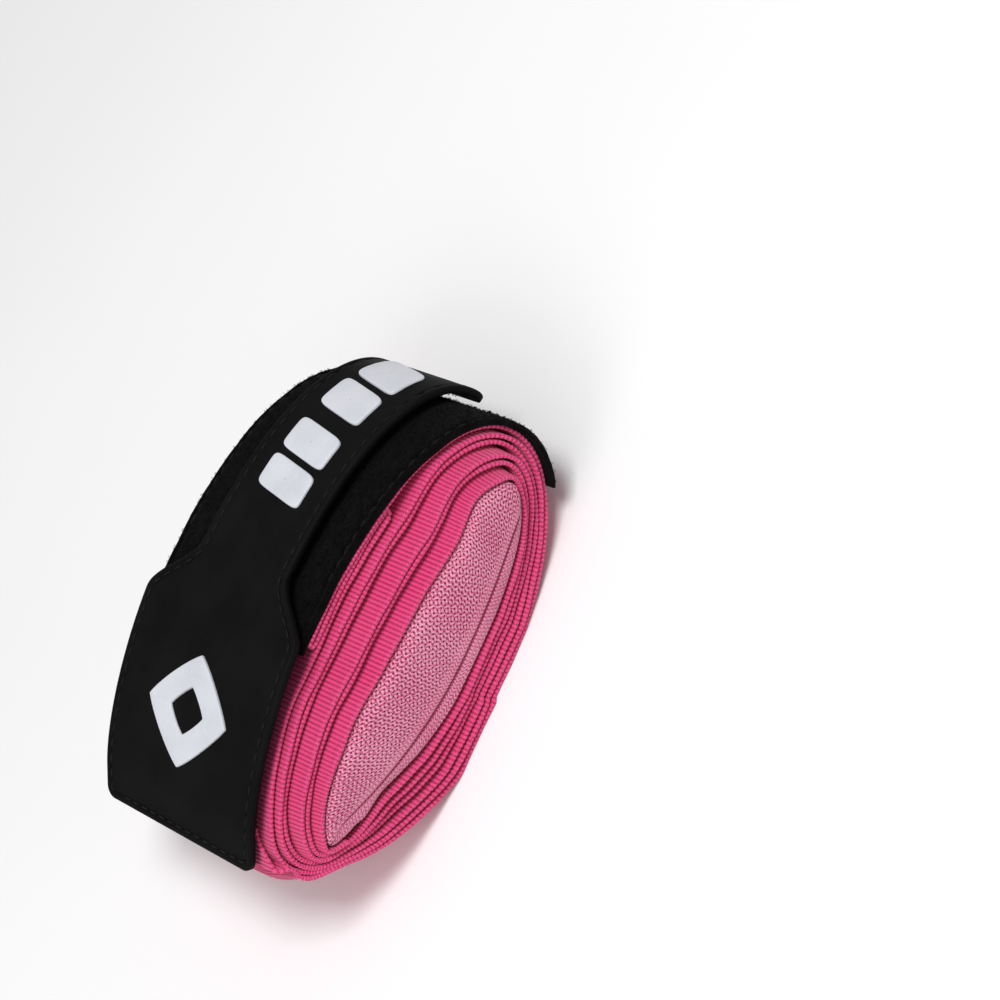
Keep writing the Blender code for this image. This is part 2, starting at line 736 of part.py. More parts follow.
def main():
    """Build every piece and hang the strap's stretches on their hinges."""
    for old in list(bpy.data.objects):
        bpy.data.objects.remove(old, do_unlink=True)

    pink = material("pink_elastic", (0.72, 0.06, 0.25), 0.85)
    pale = material("pale_mesh", (0.78, 0.30, 0.45), 0.9)
    foam = material("foam", (0.75, 0.72, 0.62), 0.95)
    rubber = material("black_rubber", (0.02, 0.02, 0.02), 0.55)
    tape = material("black_tape", (0.012, 0.012, 0.013), 0.95)
    black_thread = material("black_thread", (0.03, 0.03, 0.03), 0.7)
    white = material("white_rubber", (0.62, 0.64, 0.68), 0.5)

    fixed = [make_band(pink), make_sleeve(pale), *make_foams(foam), make_thumb_loop(pink)]
    fixed += [make_patch(tape), *make_patch_seams(black_thread)]
    bodies = make_covers(rubber)
    groups = (make_linings(tape), make_hooks(tape), make_seams(black_thread), make_bars(white))
    for group in groups:
        for body, solids in group.items():
            bodies[body] += solids
    bodies["mid"].append(make_emblem(white))
    fixed += bodies.pop("root")

    everything = fixed + [solid for solids in bodies.values() for solid in solids]
    origin = bottom_centre(everything)
    for solid in fixed:
        place(solid, origin, None)
    parent, parent_point = None, origin
    for body, length in zip(("mid", "neck", "tip"), HINGES):
        hinge = bpy.data.objects.new(f"hinge_{body}", None)
        bpy.context.scene.collection.objects.link(hinge)
        hinge.parent = parent
        hinge.location = hinge_point(length) - parent_point
        for solid in bodies[body]:
            place(solid, hinge_point(length), hinge)
        parent, parent_point = hinge, hinge_point(length)
    bpy.context.view_layer.update()


main()
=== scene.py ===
"""A rolled hand wrap with its finishes: the ribbed elastic band wound round a knitted pad sleeve,
the loop patch, and the moulded closing strap with its hook tape, stitching and raised marks.

Shapes are worked out in millimetres in the roll's own frame: X along the roll, Y across the band, Z up
towards the strap, with the outline's section centred on x = 0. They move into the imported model's frame,
in metres, when a mesh is made.
"""

import logging
import math
from collections.abc import Sequence
from dataclasses import dataclass, field
from enum import Enum
from typing import Any

import bpy
import numpy as np
from mathutils import Matrix, Vector


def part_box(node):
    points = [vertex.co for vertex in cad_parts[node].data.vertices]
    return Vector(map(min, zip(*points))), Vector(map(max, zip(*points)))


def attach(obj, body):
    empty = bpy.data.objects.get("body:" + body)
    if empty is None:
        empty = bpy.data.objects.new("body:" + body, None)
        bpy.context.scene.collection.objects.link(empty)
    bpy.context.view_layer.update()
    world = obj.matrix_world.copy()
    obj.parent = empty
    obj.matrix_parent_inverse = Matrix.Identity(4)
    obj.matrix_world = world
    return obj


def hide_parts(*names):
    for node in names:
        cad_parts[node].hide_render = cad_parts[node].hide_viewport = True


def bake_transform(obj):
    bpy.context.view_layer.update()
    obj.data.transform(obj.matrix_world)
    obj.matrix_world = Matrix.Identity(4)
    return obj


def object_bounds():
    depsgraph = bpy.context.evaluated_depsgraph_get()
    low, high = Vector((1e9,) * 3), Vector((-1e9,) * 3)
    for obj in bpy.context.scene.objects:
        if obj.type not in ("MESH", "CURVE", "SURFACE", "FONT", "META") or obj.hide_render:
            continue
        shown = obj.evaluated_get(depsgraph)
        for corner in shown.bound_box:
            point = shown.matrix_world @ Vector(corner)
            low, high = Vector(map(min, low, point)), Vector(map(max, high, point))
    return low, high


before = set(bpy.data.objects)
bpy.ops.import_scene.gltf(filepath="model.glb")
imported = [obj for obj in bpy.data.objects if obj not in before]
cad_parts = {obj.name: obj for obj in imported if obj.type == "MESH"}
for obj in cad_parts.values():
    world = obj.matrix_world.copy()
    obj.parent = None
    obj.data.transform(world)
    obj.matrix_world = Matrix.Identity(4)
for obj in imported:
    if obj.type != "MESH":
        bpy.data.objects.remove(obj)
CAD_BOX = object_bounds()

LOG = logging.getLogger("hand_wrap")
MM = 0.001
HALF_TURN, FULL_TURN = 180.0, 360.0
BAND_WIDTH = 50.0
EDGE_SOFTNESS = np.array([0.0, 0.15, 0.5])
Array = np.ndarray
Colour = tuple[float, float, float]


class Slot(Enum):
    """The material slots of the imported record."""

    ELASTIC = "pink_elastic"
    MESH = "pale_mesh"
    FOAM = "foam"
    PILE = "loop_pile"
    HOOKS = "hook_tape"
    WEBBING = "black_webbing"
    RUBBER = "black_rubber"
    THREAD = "black_thread"
    MARK = "white_rubber"


class Body(Enum):
    """The bodies that pieces ride on."""

    ROLL = "roll"
    MID = "strap_mid"
    NECK = "strap_neck"
    TIP = "strap_tip"


def smooth(share: Array | float) -> Array:
    """Ease from 0 to 1."""
    share = np.clip(share, 0.0, 1.0)
    return share * share * (3.0 - 2.0 * share)


def lerp(start: Any, end: Any, share: Any) -> Any:
    """Blend from start to end."""
    return start + (end - start) * share


def ramp(value: Array, start: float, span: float) -> Array:
    """Ease from 0 at start to 1 a span further on."""
    return smooth((value - start) / span)


def signed_power(value: Array, power: float) -> Array:
    """A power of a value, with the value's own sign."""
    return np.sign(value) * np.abs(value) ** power


def lengths_along(points: Array) -> Array:
    """The distance from a line's first point to each of its points."""
    return np.concatenate([[0.0], np.cumsum(np.linalg.norm(np.diff(points, axis=0), axis=1))])


def points_at(length: Array, lengths: Array, points: Array) -> Array:
    """Points of a line in a plane, at some distances along it.

    Args:
        length: The distances.
        lengths: The distance along the line of each of its own points.
        points: The line's own points.

    Returns:
        One point for each distance.
    """
    return np.stack([np.interp(length, lengths, points[:, axis]) for axis in (0, 1)], -1)


def wander(length: Array, seed: int, longest: float) -> Array:
    """A smooth irregular wave between about -1 and 1.

    Args:
        length: Where to take it, in mm.
        seed: Which wave.
        longest: The longest wavelength in it, in mm.

    Returns:
        One value for each length.
    """
    rng = np.random.default_rng(seed)
    total = np.zeros_like(np.asarray(length, float))
    for octave in range(4):
        phase, detune = rng.uniform(0.0, 2.0 * math.pi), rng.uniform(0.85, 1.15)
        turns = length * 2.0 * math.pi * detune * 1.7 ** octave / longest
        total += np.sin(turns + phase) / 1.5 ** octave
    return total / 2.2


# ---------------------------------------------------------------------------------------------------
# The roll's lines
# ---------------------------------------------------------------------------------------------------
@dataclass(frozen=True)
class RollSection:
    """The roll's outline in the XZ plane: a superellipse with a flat to lie on."""

    half_length: float = 50.0
    half_thickness: float = 19.0
    roundness: float = 2.15
    rest_half_length: float = 16.0
    sewn_end_x: float = -43.0

    def outline_share(self, x: Array | float) -> Array:
        """The outline's height at x, as a share of half the thickness."""
        return (1.0 - (np.abs(x) / self.half_length) ** self.roundness) ** (1.0 / self.roundness)

    def point(self, angle: Array | float, inset: Array | float) -> Array:
        """Points on the outline.

        Args:
            angle: Angles in degrees, from +X towards +Z.
            inset: How far inside the outline.

        Returns:
            XZ points, one row for each angle.
        """
        cosine, sine = np.cos(np.radians(angle)), np.sin(np.radians(angle))
        power = 2.0 / self.roundness
        x = (self.half_length - inset) * signed_power(cosine, power)
        z = (self.half_thickness - inset) * signed_power(sine, power)
        on_flat = (z < 0.0) & (np.abs(x) < self.rest_half_length)
        nearest = np.minimum(np.abs(x), self.rest_half_length)
        flat = z * self.outline_share(self.rest_half_length) / self.outline_share(nearest)
        return np.stack([x, self.half_thickness + np.where(on_flat, flat, z)], -1)

    def angle_at_x(self, x: float) -> float:
        """The angle of the upper outline's point at x."""
        cosine = (abs(x) / self.half_length) ** (self.roundness / 2.0)
        return math.degrees(math.acos(math.copysign(cosine, x)))

    def tangent(self, angle: float) -> Array:
        """The direction in which the outline's angle grows."""
        slope = self.point(angle + 0.5, 0.0) - self.point(angle - 0.5, 0.0)
        return slope / np.linalg.norm(slope)

    def normal(self, angle: float) -> Array:
        """The outward normal of the outline at an angle."""
        along = self.tangent(angle)
        return np.array([along[1], -along[0]])

    def straight_end(self) -> tuple[Array, Array, Array]:
        """Find the stiff sewn end.

        Returns:
            Where it leaves the curve, its direction and its outward normal.
        """
        angle = self.angle_at_x(self.sewn_end_x)
        return self.point(angle, 0.0), self.tangent(angle), self.normal(angle)


SECTION = RollSection()


@dataclass(frozen=True)
class Winding:
    """The band's spiral from its sewn end inwards to the padded sleeve, with the pleat under the patch.

    skew_top and skew_bottom are the push along +Y of each turn's upper and lower half, from the outermost
    turn inwards. share_top and share_bottom are the share of the near end's slump that each half takes.
    """

    thickness: float = 0.9
    spacing: float = 0.25
    turns: int = 6
    fold_x: float = -5.0
    hairpin_x: float = 25.0
    ease: float = 15.0
    corner_reach: float = 6.6
    overrun: float = 25.0
    lead_end: float = 190.0
    height_power: float = 0.72
    slump_start: float = 60.0
    skew_top: tuple[float, ...] = (14.5, 12.7, 12.7, 8.3, 8.3, 4.8)
    skew_bottom: tuple[float, ...] = (-1.5, -1.5, -1.0, 0.0, 0.0, 0.0)
    share_top: tuple[float, ...] = (0.0, 0.15, 0.17, 0.53, 0.55, 1.0)
    share_bottom: tuple[float, ...] = (0.0, 0.12, 0.28, 0.48, 0.72, 0.98, 1.0)

    @property
    def pitch(self) -> float:
        """From one turn to the next."""
        return self.thickness + self.spacing

    def layers_above(self, x: Array) -> Array:
        """How many layers lie over an upper half turn at x."""
        over_pleat = smooth((self.hairpin_x + self.ease - x) / self.ease)
        return 2.0 * over_pleat - smooth((self.fold_x - x) / self.ease)

    def depth(self, angle: Array) -> Array:
        """How deep the band lies at a winding angle, which grows inwards from 180 at the -X end.

        Args:
            angle: Angles in degrees.

        Returns:
            One depth for each angle.
        """
        count = np.floor((angle - HALF_TURN) / FULL_TURN)
        upper = (angle - HALF_TURN) % FULL_TURN > HALF_TURN
        count = count + np.where(upper, self.layers_above(SECTION.point(angle, 0.0)[..., 0]), 0.0)
        return self.pitch * np.maximum(0.0, count)

    @staticmethod
    def pick(values: Sequence[float], index: Array) -> Array:
        """The values at some indices, held at both ends."""
        return np.asarray(values)[np.clip(index, 0, len(values) - 1).astype(int)]

    def by_half_turn(self, angle: Array, bottom: Sequence[float],
                     top: Sequence[float]) -> tuple[Array, Array, Array, Array]:
        """The values of the lower and the upper half turn next to some winding angles.

        Args:
            angle: Winding angles in degrees.
            bottom: A value for each lower half turn, from the outermost inwards.
            top: A value for each upper half turn.

        Returns:
            The lower and the upper values, and whether each angle is in a lower half and on the -X side.
        """
        half = np.floor((angle - HALF_TURN) / HALF_TURN)
        turn = half // 2
        left = np.cos(np.radians(angle)) < 0.0
        in_lower = half % 2 == 0
        lower = self.pick(bottom, np.where(in_lower, turn, turn + left))
        upper = self.pick(top, np.where(in_lower, turn - left, turn))
        return lower, upper, in_lower, left

    def skew(self, angle: Array) -> Array:
        """How far the band is pushed along +Y at a winding angle.

        Args:
            angle: Angles in degrees.

        Returns:
            One push for each angle.
        """
        lower, upper, _, left = self.by_half_turn(angle, self.skew_bottom, self.skew_top)
        height = SECTION.point(angle, 0.0)[..., 1] / (2.0 * SECTION.half_thickness)
        height = np.where(left, height, np.clip(height, 0.0, 1.0) ** self.height_power)
        return lerp(lower, upper, height)

    def settle(self, angle: Array) -> Array:
        """How much of the near end's slump a winding angle takes: none outside, all of it at the core."""
        lower, upper, in_lower, _ = self.by_half_turn(angle, self.share_bottom, self.share_top)
        own, other = np.where(in_lower, lower, upper), np.where(in_lower, upper, lower)
        return lerp((own + other) / 2.0, own, np.abs(np.sin(np.radians(angle))) ** 0.5)

    def path(self) -> tuple[Array, Array, Array]:
        """The band's middle line.

        Returns:
            XZ points, and the push along +Y and the share of the near end's slump at each.
        """
        half = self.thickness / 2.0
        start, along, outward = SECTION.straight_end()
        first = SECTION.point(np.arange(HALF_TURN, self.lead_end, 2.0), half)
        corner = start + along * self.corner_reach - outward * half
        reaches = np.arange(-1.0, self.corner_reach - 0.6, 0.8)
        lead = [start + along * reach - outward * half for reach in reaches]
        lead += [corner, corner - outward * 0.7 + along * 0.25, corner - outward * 2.4 + along * 0.1]
        lead = self.soften(np.vstack([lead, first]), 3)
        drop = smooth(np.linspace(0.0, 1.0, len(lead)))
        joined = self.skew(np.array([self.lead_end - 2.0]))[0]
        points = [lead]
        skews = [lerp(np.full(len(lead), self.skew_top[0]), joined, drop)]
        shares = [np.zeros(len(lead))]

        fold = FULL_TURN + SECTION.angle_at_x(self.fold_x)
        hairpin = FULL_TURN + SECTION.angle_at_x(self.hairpin_x)
        outer = np.arange(self.lead_end, fold, 1.0)
        points.append(SECTION.point(outer, half))
        skews.append(self.skew(outer))
        shares.append(self.settle(outer))
        back = SECTION.point(np.arange(fold, hairpin, -1.0), self.pitch + half)
        for turn in (self.bend(fold, 0.0, 1.0), back, self.bend(hairpin, self.pitch, -1.0)):
            points.append(turn)
            skews.append(np.full(len(turn), self.skew_top[0]))
            shares.append(np.zeros(len(turn)))
        inner = np.arange(hairpin + 0.5, HALF_TURN + FULL_TURN * self.turns + self.overrun, 1.0)
        points.append(SECTION.point(inner, self.depth(inner) + half))
        skews.append(self.skew(inner))
        shares.append(self.settle(inner) * ramp(inner, hairpin, self.slump_start))
        return np.vstack(points), np.concatenate(skews), np.concatenate(shares)

    def bend(self, angle: float, depth: float, towards: float) -> Array:
        """The middle line of a tight fold.

        Args:
            angle: Where on the outline it is.
            depth: How deep its outer layer lies.
            towards: 1 for a fold on the left, and -1 for one on the right.

        Returns:
            XZ points.
        """
        radius = self.pitch / 2.0
        outward = SECTION.normal(angle)
        centre = SECTION.point(angle, depth + self.thickness + self.spacing / 2.0)
        side = np.array([-outward[1], outward[0]]) * towards
        turns = np.radians(np.arange(8.0, HALF_TURN, 12.0))[:, None]
        return centre + radius * (outward * np.cos(turns) + side * 1.25 * np.sin(turns))

    @staticmethod
    def soften(points: Array, rounds: int) -> Array:
        """Cut the corners of a line of points, keeping its two ends.

        Args:
            points: A line of points.
            rounds: How many times.

        Returns:
            The line with softer corners.
        """
        for _ in range(rounds):
            cut = np.stack([lerp(points[:-1], points[1:], share) for share in (0.25, 0.75)], 1)
            points = np.vstack([points[:1], cut.reshape(-1, 2), points[-1:]])
        return points


WINDING = Winding()


@dataclass(frozen=True)
class Slump:
    """How the near end of the roll has settled: the core is squeezed, and its -X end has ridden up.

    Each ramp is a start and a span: those named x or z are in mm from the roll's middle, and the others in
    shares of core_reach.
    """

    fade: float = 14.0
    core_reach: float = 40.0
    core_top: float = 3.2
    core_tilt: float = 2.6
    core_bottom: float = 0.9
    core_rise: float = 4.6
    rise_ramp: tuple[float, float] = (0.02, 0.7)
    upper_ramp_z: tuple[float, float] = (-5.0, 10.0)
    side: float = 2.8
    side_ramp: tuple[float, float] = (0.55, 0.5)
    blunt: float = 0.6
    blunt_ramp: tuple[float, float] = (0.6, 0.4)
    outer_rise: float = 6.6
    outer_rise_ramp_x: tuple[float, float] = (13.0, 32.0)
    outer_rise_ramp_z: tuple[float, float] = (-6.0, 16.0)
    outer_pull: float = 3.0
    outer_pull_ramp_x: tuple[float, float] = (32.0, 16.0)
    outer_pull_ramp_z: tuple[float, float] = (-10.0, 12.0)

    def at(self, points: Array, share: Array) -> Array:
        """The near edge's shift.

        Args:
            points: XZ points at rest.
            share: How much of the core's own shift each takes.

        Returns:
            XZ shifts in mm.
        """
        x, z = points[..., 0], points[..., 1] - SECTION.half_thickness
        out = x / self.core_reach
        blunt = 1.0 - self.blunt * ramp(np.abs(out), *self.blunt_ramp)
        down = (self.core_top + self.core_tilt * np.clip(out, -1.0, 1.0)) * blunt
        up = (self.core_bottom + self.core_rise * ramp(-out, *self.rise_ramp)) * blunt
        squeeze = lerp(up, -down, ramp(z, *self.upper_ramp_z))
        inward = -self.side * np.sign(out) * ramp(np.abs(out), *self.side_ramp)
        lean = self.outer_rise * ramp(-x, *self.outer_rise_ramp_x) * ramp(-z, *self.outer_rise_ramp_z)
        pull = self.outer_pull * ramp(-x, *self.outer_pull_ramp_x) * ramp(-z, *self.outer_pull_ramp_z)
        return np.stack([share * inward + (1.0 - share) * pull,
                         share * squeeze + (1.0 - 0.5 * share) * lean], -1)


SLUMP = Slump()


class Rail:
    """The line over the top of the roll that the patch and the strap follow."""

    def __init__(self) -> None:
        """Lay the line from the sewn end's corner, over the top and down the +X shoulder."""
        start, along, outward = SECTION.straight_end()
        reaches = np.linspace(7.0, 0.6, 12)[:, None]
        angles = np.arange(SECTION.angle_at_x(SECTION.sewn_end_x), -32.001, -1.0)
        curve = SECTION.point(angles, 0.0)
        normals = np.array([SECTION.normal(angle) for angle in angles])
        self.points = np.vstack([start + along * reaches, curve])
        self.normals = np.vstack([np.repeat(outward[None], len(reaches), 0), normals])
        self.lengths = lengths_along(self.points)

    @property
    def end(self) -> float:
        """The rail's whole length."""
        return float(self.lengths[-1])

    def at(self, length: Array) -> tuple[Array, Array]:
        """XZ points and normals at some lengths along the rail."""
        point = points_at(length, self.lengths, self.points)
        normal = points_at(length, self.lengths, self.normals)
        return point, normal / np.linalg.norm(normal, axis=-1, keepdims=True)

    def up(self, length: Array) -> Array:
        """XYZ normals at some lengths along the rail."""
        normal = self.at(length)[1]
        return np.stack([normal[..., 0], np.zeros_like(length), normal[..., 1]], -1)

    def length_at_x(self, x: float) -> float:
        """The length at which the rail passes x on the top of the roll."""
        top = self.points[:, 1] > SECTION.half_thickness
        return float(np.interp(x, self.points[top, 0], self.lengths[top]))

    def length_at_angle(self, angle: float) -> float:
        """The length at which the rail passes an angle of the outline."""
        gaps = np.linalg.norm(self.points - SECTION.point(angle, 0.0), axis=1)
        return float(self.lengths[int(np.argmin(gaps))])

    def lay(self, length: Array, y: Array, lift: Array) -> Array:
        """Points in three dimensions over the rail.

        Args:
            length: Lengths along the rail.
            y: Places across the roll.
            lift: Heights over the rail, along its normal.

        Returns:
            XYZ points in mm.
        """
        length, y, lift = np.broadcast_arrays(length, y, lift)
        point, normal = self.at(length)
        place = point + normal * lift[..., None]
        return np.stack([place[..., 0], y, place[..., 1]], -1)


RAIL = Rail()


# ---------------------------------------------------------------------------------------------------
# Meshes
# ---------------------------------------------------------------------------------------------------
class Bench:
    """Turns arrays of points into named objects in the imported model's frame."""

    def __init__(self) -> None:
        """Find where the roll's own frame lies in the model's."""
        low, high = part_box("elastic_band")
        near_edge = min(WINDING.skew_bottom) - BAND_WIDTH / 2.0
        foot = float(SECTION.point(1.5 * HALF_TURN, 0.0)[1])
        self.origin = np.array([(low.x + high.x) / 2.0, low.y - near_edge * MM, low.z - foot * MM])

    def place(self, points: Array) -> Array:
        """Points in the model's frame, in metres."""
        return np.asarray(points, float) * MM + self.origin

    def build(self, name: str, points: Array, faces: Sequence[Sequence[int]],
              values: dict[str, Array] | None = None, sharp: float = 50.0) -> bpy.types.Object:
        """Make an object.

        Args:
            name: Its name.
            points: Its vertices in mm, in the roll's frame.
            faces: Its faces, as lists of vertex numbers.
            values: Numbers carried on each vertex, by name.
            sharp: The angle in degrees from which an edge is sharp.

        Returns:
            The object, with its faces pointing out.
        """
        mesh = bpy.data.meshes.new(name)
        mesh.from_pydata(self.place(points).tolist(), [], [list(face) for face in faces])
        for key, numbers in (values or {}).items():
            layer = mesh.attributes.new(key, "FLOAT", "POINT")
            layer.data.foreach_set("value", np.asarray(numbers, np.float32))
        mesh.update()
        mesh.shade_smooth()
        mesh.set_sharp_from_angle(angle=math.radians(sharp))
        made = bpy.data.objects.new(name, mesh)
        bpy.context.scene.collection.objects.link(made)
        return made

    def loft(self, name: str, rows: Array, along: Array, across: Array, closed: bool = False,
             extra: dict[str, Array] | None = None, sharp: float = 50.0) -> bpy.types.Object:
        """Skin rows of closed rings into one closed solid.

        Args:
            name: Its name.
            rows: Points as rows by ring by XYZ, in mm.
            along: The distance along the material at each point, in mm.
            across: The distance across the material at each point, in mm.
            closed: Whether the last row joins the first.
            extra: More numbers for each point.
            sharp: The angle in degrees from which an edge is sharp.

        Returns:
            The object.
        """
        count, ring = rows.shape[:2]
        index = np.arange(count * ring).reshape(count, ring)
        here = index if closed else index[:-1]
        there = np.roll(index, -1, 0) if closed else index[1:]
        quads = np.stack([here, there, np.roll(there, -1, 1), np.roll(here, -1, 1)], -1).reshape(-1, 4)
        faces: list[Sequence[int]] = quads.tolist()
        if not closed:
            faces += [index[0].tolist(), index[-1][::-1].tolist()]
        if self.volume(rows.reshape(-1, 3), faces) < 0.0:
            faces = [face[::-1] for face in faces]
        shape = rows.shape[:2]
        values = {key: np.broadcast_to(numbers, shape).ravel()
                  for key, numbers in {"along": along, "across": across, **(extra or {})}.items()}
        return self.build(name, rows.reshape(-1, 3), faces, values, sharp)

    @staticmethod
    def volume(points: Array, faces: Sequence[Sequence[int]]) -> float:
        """The signed volume, up to a positive factor, that the four-sided faces enclose.

        Args:
            points: Every vertex.
            faces: Lists of vertex numbers.

        Returns:
            The volume.
        """
        quads = np.array([face for face in faces if len(face) == 4])
        centre = points.mean(0)
        a, b, c, d = (points[quads[:, corner]] - centre for corner in range(4))
        return float((a * (np.cross(b, c) + np.cross(c, d))).sum())

    def scatter(self, name: str, rings: Array, along: float = 1.0) -> bpy.types.Object:
        """Skin many short tubes into one object.

        Args:
            name: Its name.
            rings: Points as tube by row by ring by XYZ, in mm.
            along: The length given to each tube for its finish.

        Returns:
            The object.
        """
        tubes, count, ring = rings.shape[:3]
        index = np.arange(tubes * count * ring).reshape(tubes, count, ring)
        here, there = index[:, :-1], index[:, 1:]
        quads = np.stack([here, np.roll(here, -1, 2), np.roll(there, -1, 2), there], -1)
        faces = quads.reshape(-1, 4).tolist() + index[:, 0, ::-1].tolist() + index[:, -1].tolist()
        shape = rings.shape[:3]
        steps = np.linspace(0.0, along, count)[None, :, None]
        values = {"along": np.broadcast_to(steps, shape).ravel(),
                  "across": np.broadcast_to(np.arange(ring) * 0.2, shape).ravel()}
        return self.build(name, rings.reshape(-1, 3), faces, values, 80.0)


BENCH = Bench()


def tube_rings(path: Array, up: Array, radius: Array, sides: int) -> Array:
    """Rings round many short lines.

    Args:
        path: Lines as tube by row by XYZ.
        up: A direction away from the surface for each row.
        radius: The radius at each row.
        sides: Points in each ring.

    Returns:
        Points as tube by row by ring by XYZ.
    """
    along = np.gradient(path, axis=1)
    along /= np.linalg.norm(along, axis=-1, keepdims=True)
    side = np.cross(along, up)
    side /= np.linalg.norm(side, axis=-1, keepdims=True)
    rise = np.cross(side, along)
    turns = np.arange(sides) * 2.0 * math.pi / sides
    offset = side[:, :, None] * np.cos(turns)[:, None] + rise[:, :, None] * np.sin(turns)[:, None]
    return path[:, :, None] + offset * np.asarray(radius)[..., None, None]


# ---------------------------------------------------------------------------------------------------
# Finishes
# ---------------------------------------------------------------------------------------------------
class Number:
    """A number on a shader socket: arithmetic on it adds Math nodes."""

    def __init__(self, graph: "Graph", socket: bpy.types.NodeSocket) -> None:
        """Wrap a socket of a graph."""
        self.graph, self.socket = graph, socket

    def math(self, operation: str, *values: "Number | float") -> "Number":
        """The result of a Math node on some values."""
        return Number(self.graph, self.graph.node("ShaderNodeMath", {"operation": operation},
                                                  dict(enumerate(values))).outputs[0])

    def __add__(self, other: "Number | float") -> "Number":
        """This plus another."""
        return self.math("ADD", self, other)

    def __radd__(self, other: float) -> "Number":
        """A number plus this."""
        return self.math("ADD", other, self)

    def __sub__(self, other: "Number | float") -> "Number":
        """This less another."""
        return self.math("SUBTRACT", self, other)

    def __rsub__(self, other: float) -> "Number":
        """A number less this."""
        return self.math("SUBTRACT", other, self)

    def __mul__(self, other: "Number | float") -> "Number":
        """This times another."""
        return self.math("MULTIPLY", self, other)

    def __rmul__(self, other: float) -> "Number":
        """A number times this."""
        return self.math("MULTIPLY", other, self)

    def __truediv__(self, other: "Number | float") -> "Number":
        """This over another."""
        return self.math("DIVIDE", self, other)

    def wave(self, period: float) -> "Number":
        """A cosine wave between 0 and 1, at its top where this is a whole number of periods."""
        return self.math("COSINE", self * (2.0 * math.pi / period)) * 0.5 + 0.5

    def cosine(self) -> "Number":
        """The cosine of this, in radians."""
        return self.math("COSINE", self)

    def floor(self) -> "Number":
        """The whole number below this."""
        return self.math("FLOOR", self)

    def ease(self, low: float, high: float) -> "Number":
        """0 below low, 1 above high and smooth between them."""
        node = self.graph.node("ShaderNodeMapRange", {"interpolation_type": "SMOOTHSTEP"},
                               {"Value": self, "From Min": low, "From Max": high})
        return Number(self.graph, node.outputs[0])


class Graph:
    """The node tree of one material."""

    def __init__(self, name: str) -> None:
        """Start a material with an empty tree.

        Args:
            name: Its name.
        """
        self.material = bpy.data.materials.new(name)
        self.material.use_nodes = True
        self.tree = self.material.node_tree
        self.tree.nodes.clear()

    def node(self, kind: str, settings: dict[str, Any] | None = None,
             inputs: dict[str | int, Any] | None = None) -> bpy.types.Node:
        """Add a node.

        Args:
            kind: The node's type.
            settings: Its own settings, set first.
            inputs: A value or a link for each socket.

        Returns:
            The node.
        """
        made = self.tree.nodes.new(kind)
        for key, value in (settings or {}).items():
            setattr(made, key, value)
        for key, value in (inputs or {}).items():
            socket = made.inputs[key]
            if isinstance(value, Number):
                self.tree.links.new(value.socket, socket)
            elif isinstance(value, bpy.types.NodeSocket):
                self.tree.links.new(value, socket)
            else:
                socket.default_value = value
        return made

    def carried(self, name: str) -> Number:
        """A number carried on the mesh's vertices."""
        return Number(self, self.node("ShaderNodeAttribute", {"attribute_name": name}).outputs["Fac"])

    def noise(self, size: float, detail: float = 3.0) -> Number:
        """Noise between 0 and 1 over the object, with lumps of about size mm.

        Args:
            size: Their size in mm.
            detail: How fine it is.

        Returns:
            The noise.
        """
        place = self.node("ShaderNodeTexCoord").outputs["Object"]
        made = self.node("ShaderNodeTexNoise", None,
                         {"Vector": place, "Scale": 1.0 / (size * MM), "Detail": detail})
        return Number(self, made.outputs["Fac"])

    def cells(self, size: float) -> Number:
        """The distance to the nearest of scattered points about size mm apart, from 0 to about 1."""
        place = self.node("ShaderNodeTexCoord").outputs["Object"]
        made = self.node("ShaderNodeTexVoronoi", None, {"Vector": place, "Scale": 1.0 / (size * MM)})
        return Number(self, made.outputs["Distance"])

    def mix(self, share: Number | float, low: Any, high: Any) -> bpy.types.NodeSocket:
        """A colour between two colours."""
        low, high = ((*colour, 1.0) if isinstance(colour, tuple) else colour for colour in (low, high))
        return self.node("ShaderNodeMix", {"data_type": "RGBA"}, {0: share, 6: low, 7: high}).outputs[2]

    def finish(self, colour: Any, roughness: Number | float, height: Number, depth: float,
               fixed: dict[str, Any] | None = None) -> bpy.types.Material:
        """Close the tree with one Principled shader.

        Args:
            colour: The base colour's link.
            roughness: The roughness.
            height: The surface's relief, from 0 to 1.
            depth: What 1 of relief is, in mm.
            fixed: Values for other sockets, the same all over.

        Returns:
            The material.
        """
        bump = self.node("ShaderNodeBump", None, {"Strength": 1.0, "Distance": depth * MM, "Height": height})
        shader = self.node("ShaderNodeBsdfPrincipled", None,
                           {"Base Color": colour, "Roughness": roughness, "Normal": bump.outputs[0],
                            **(fixed or {})})
        self.node("ShaderNodeOutputMaterial", None, {"Surface": shader.outputs[0]})
        return self.material


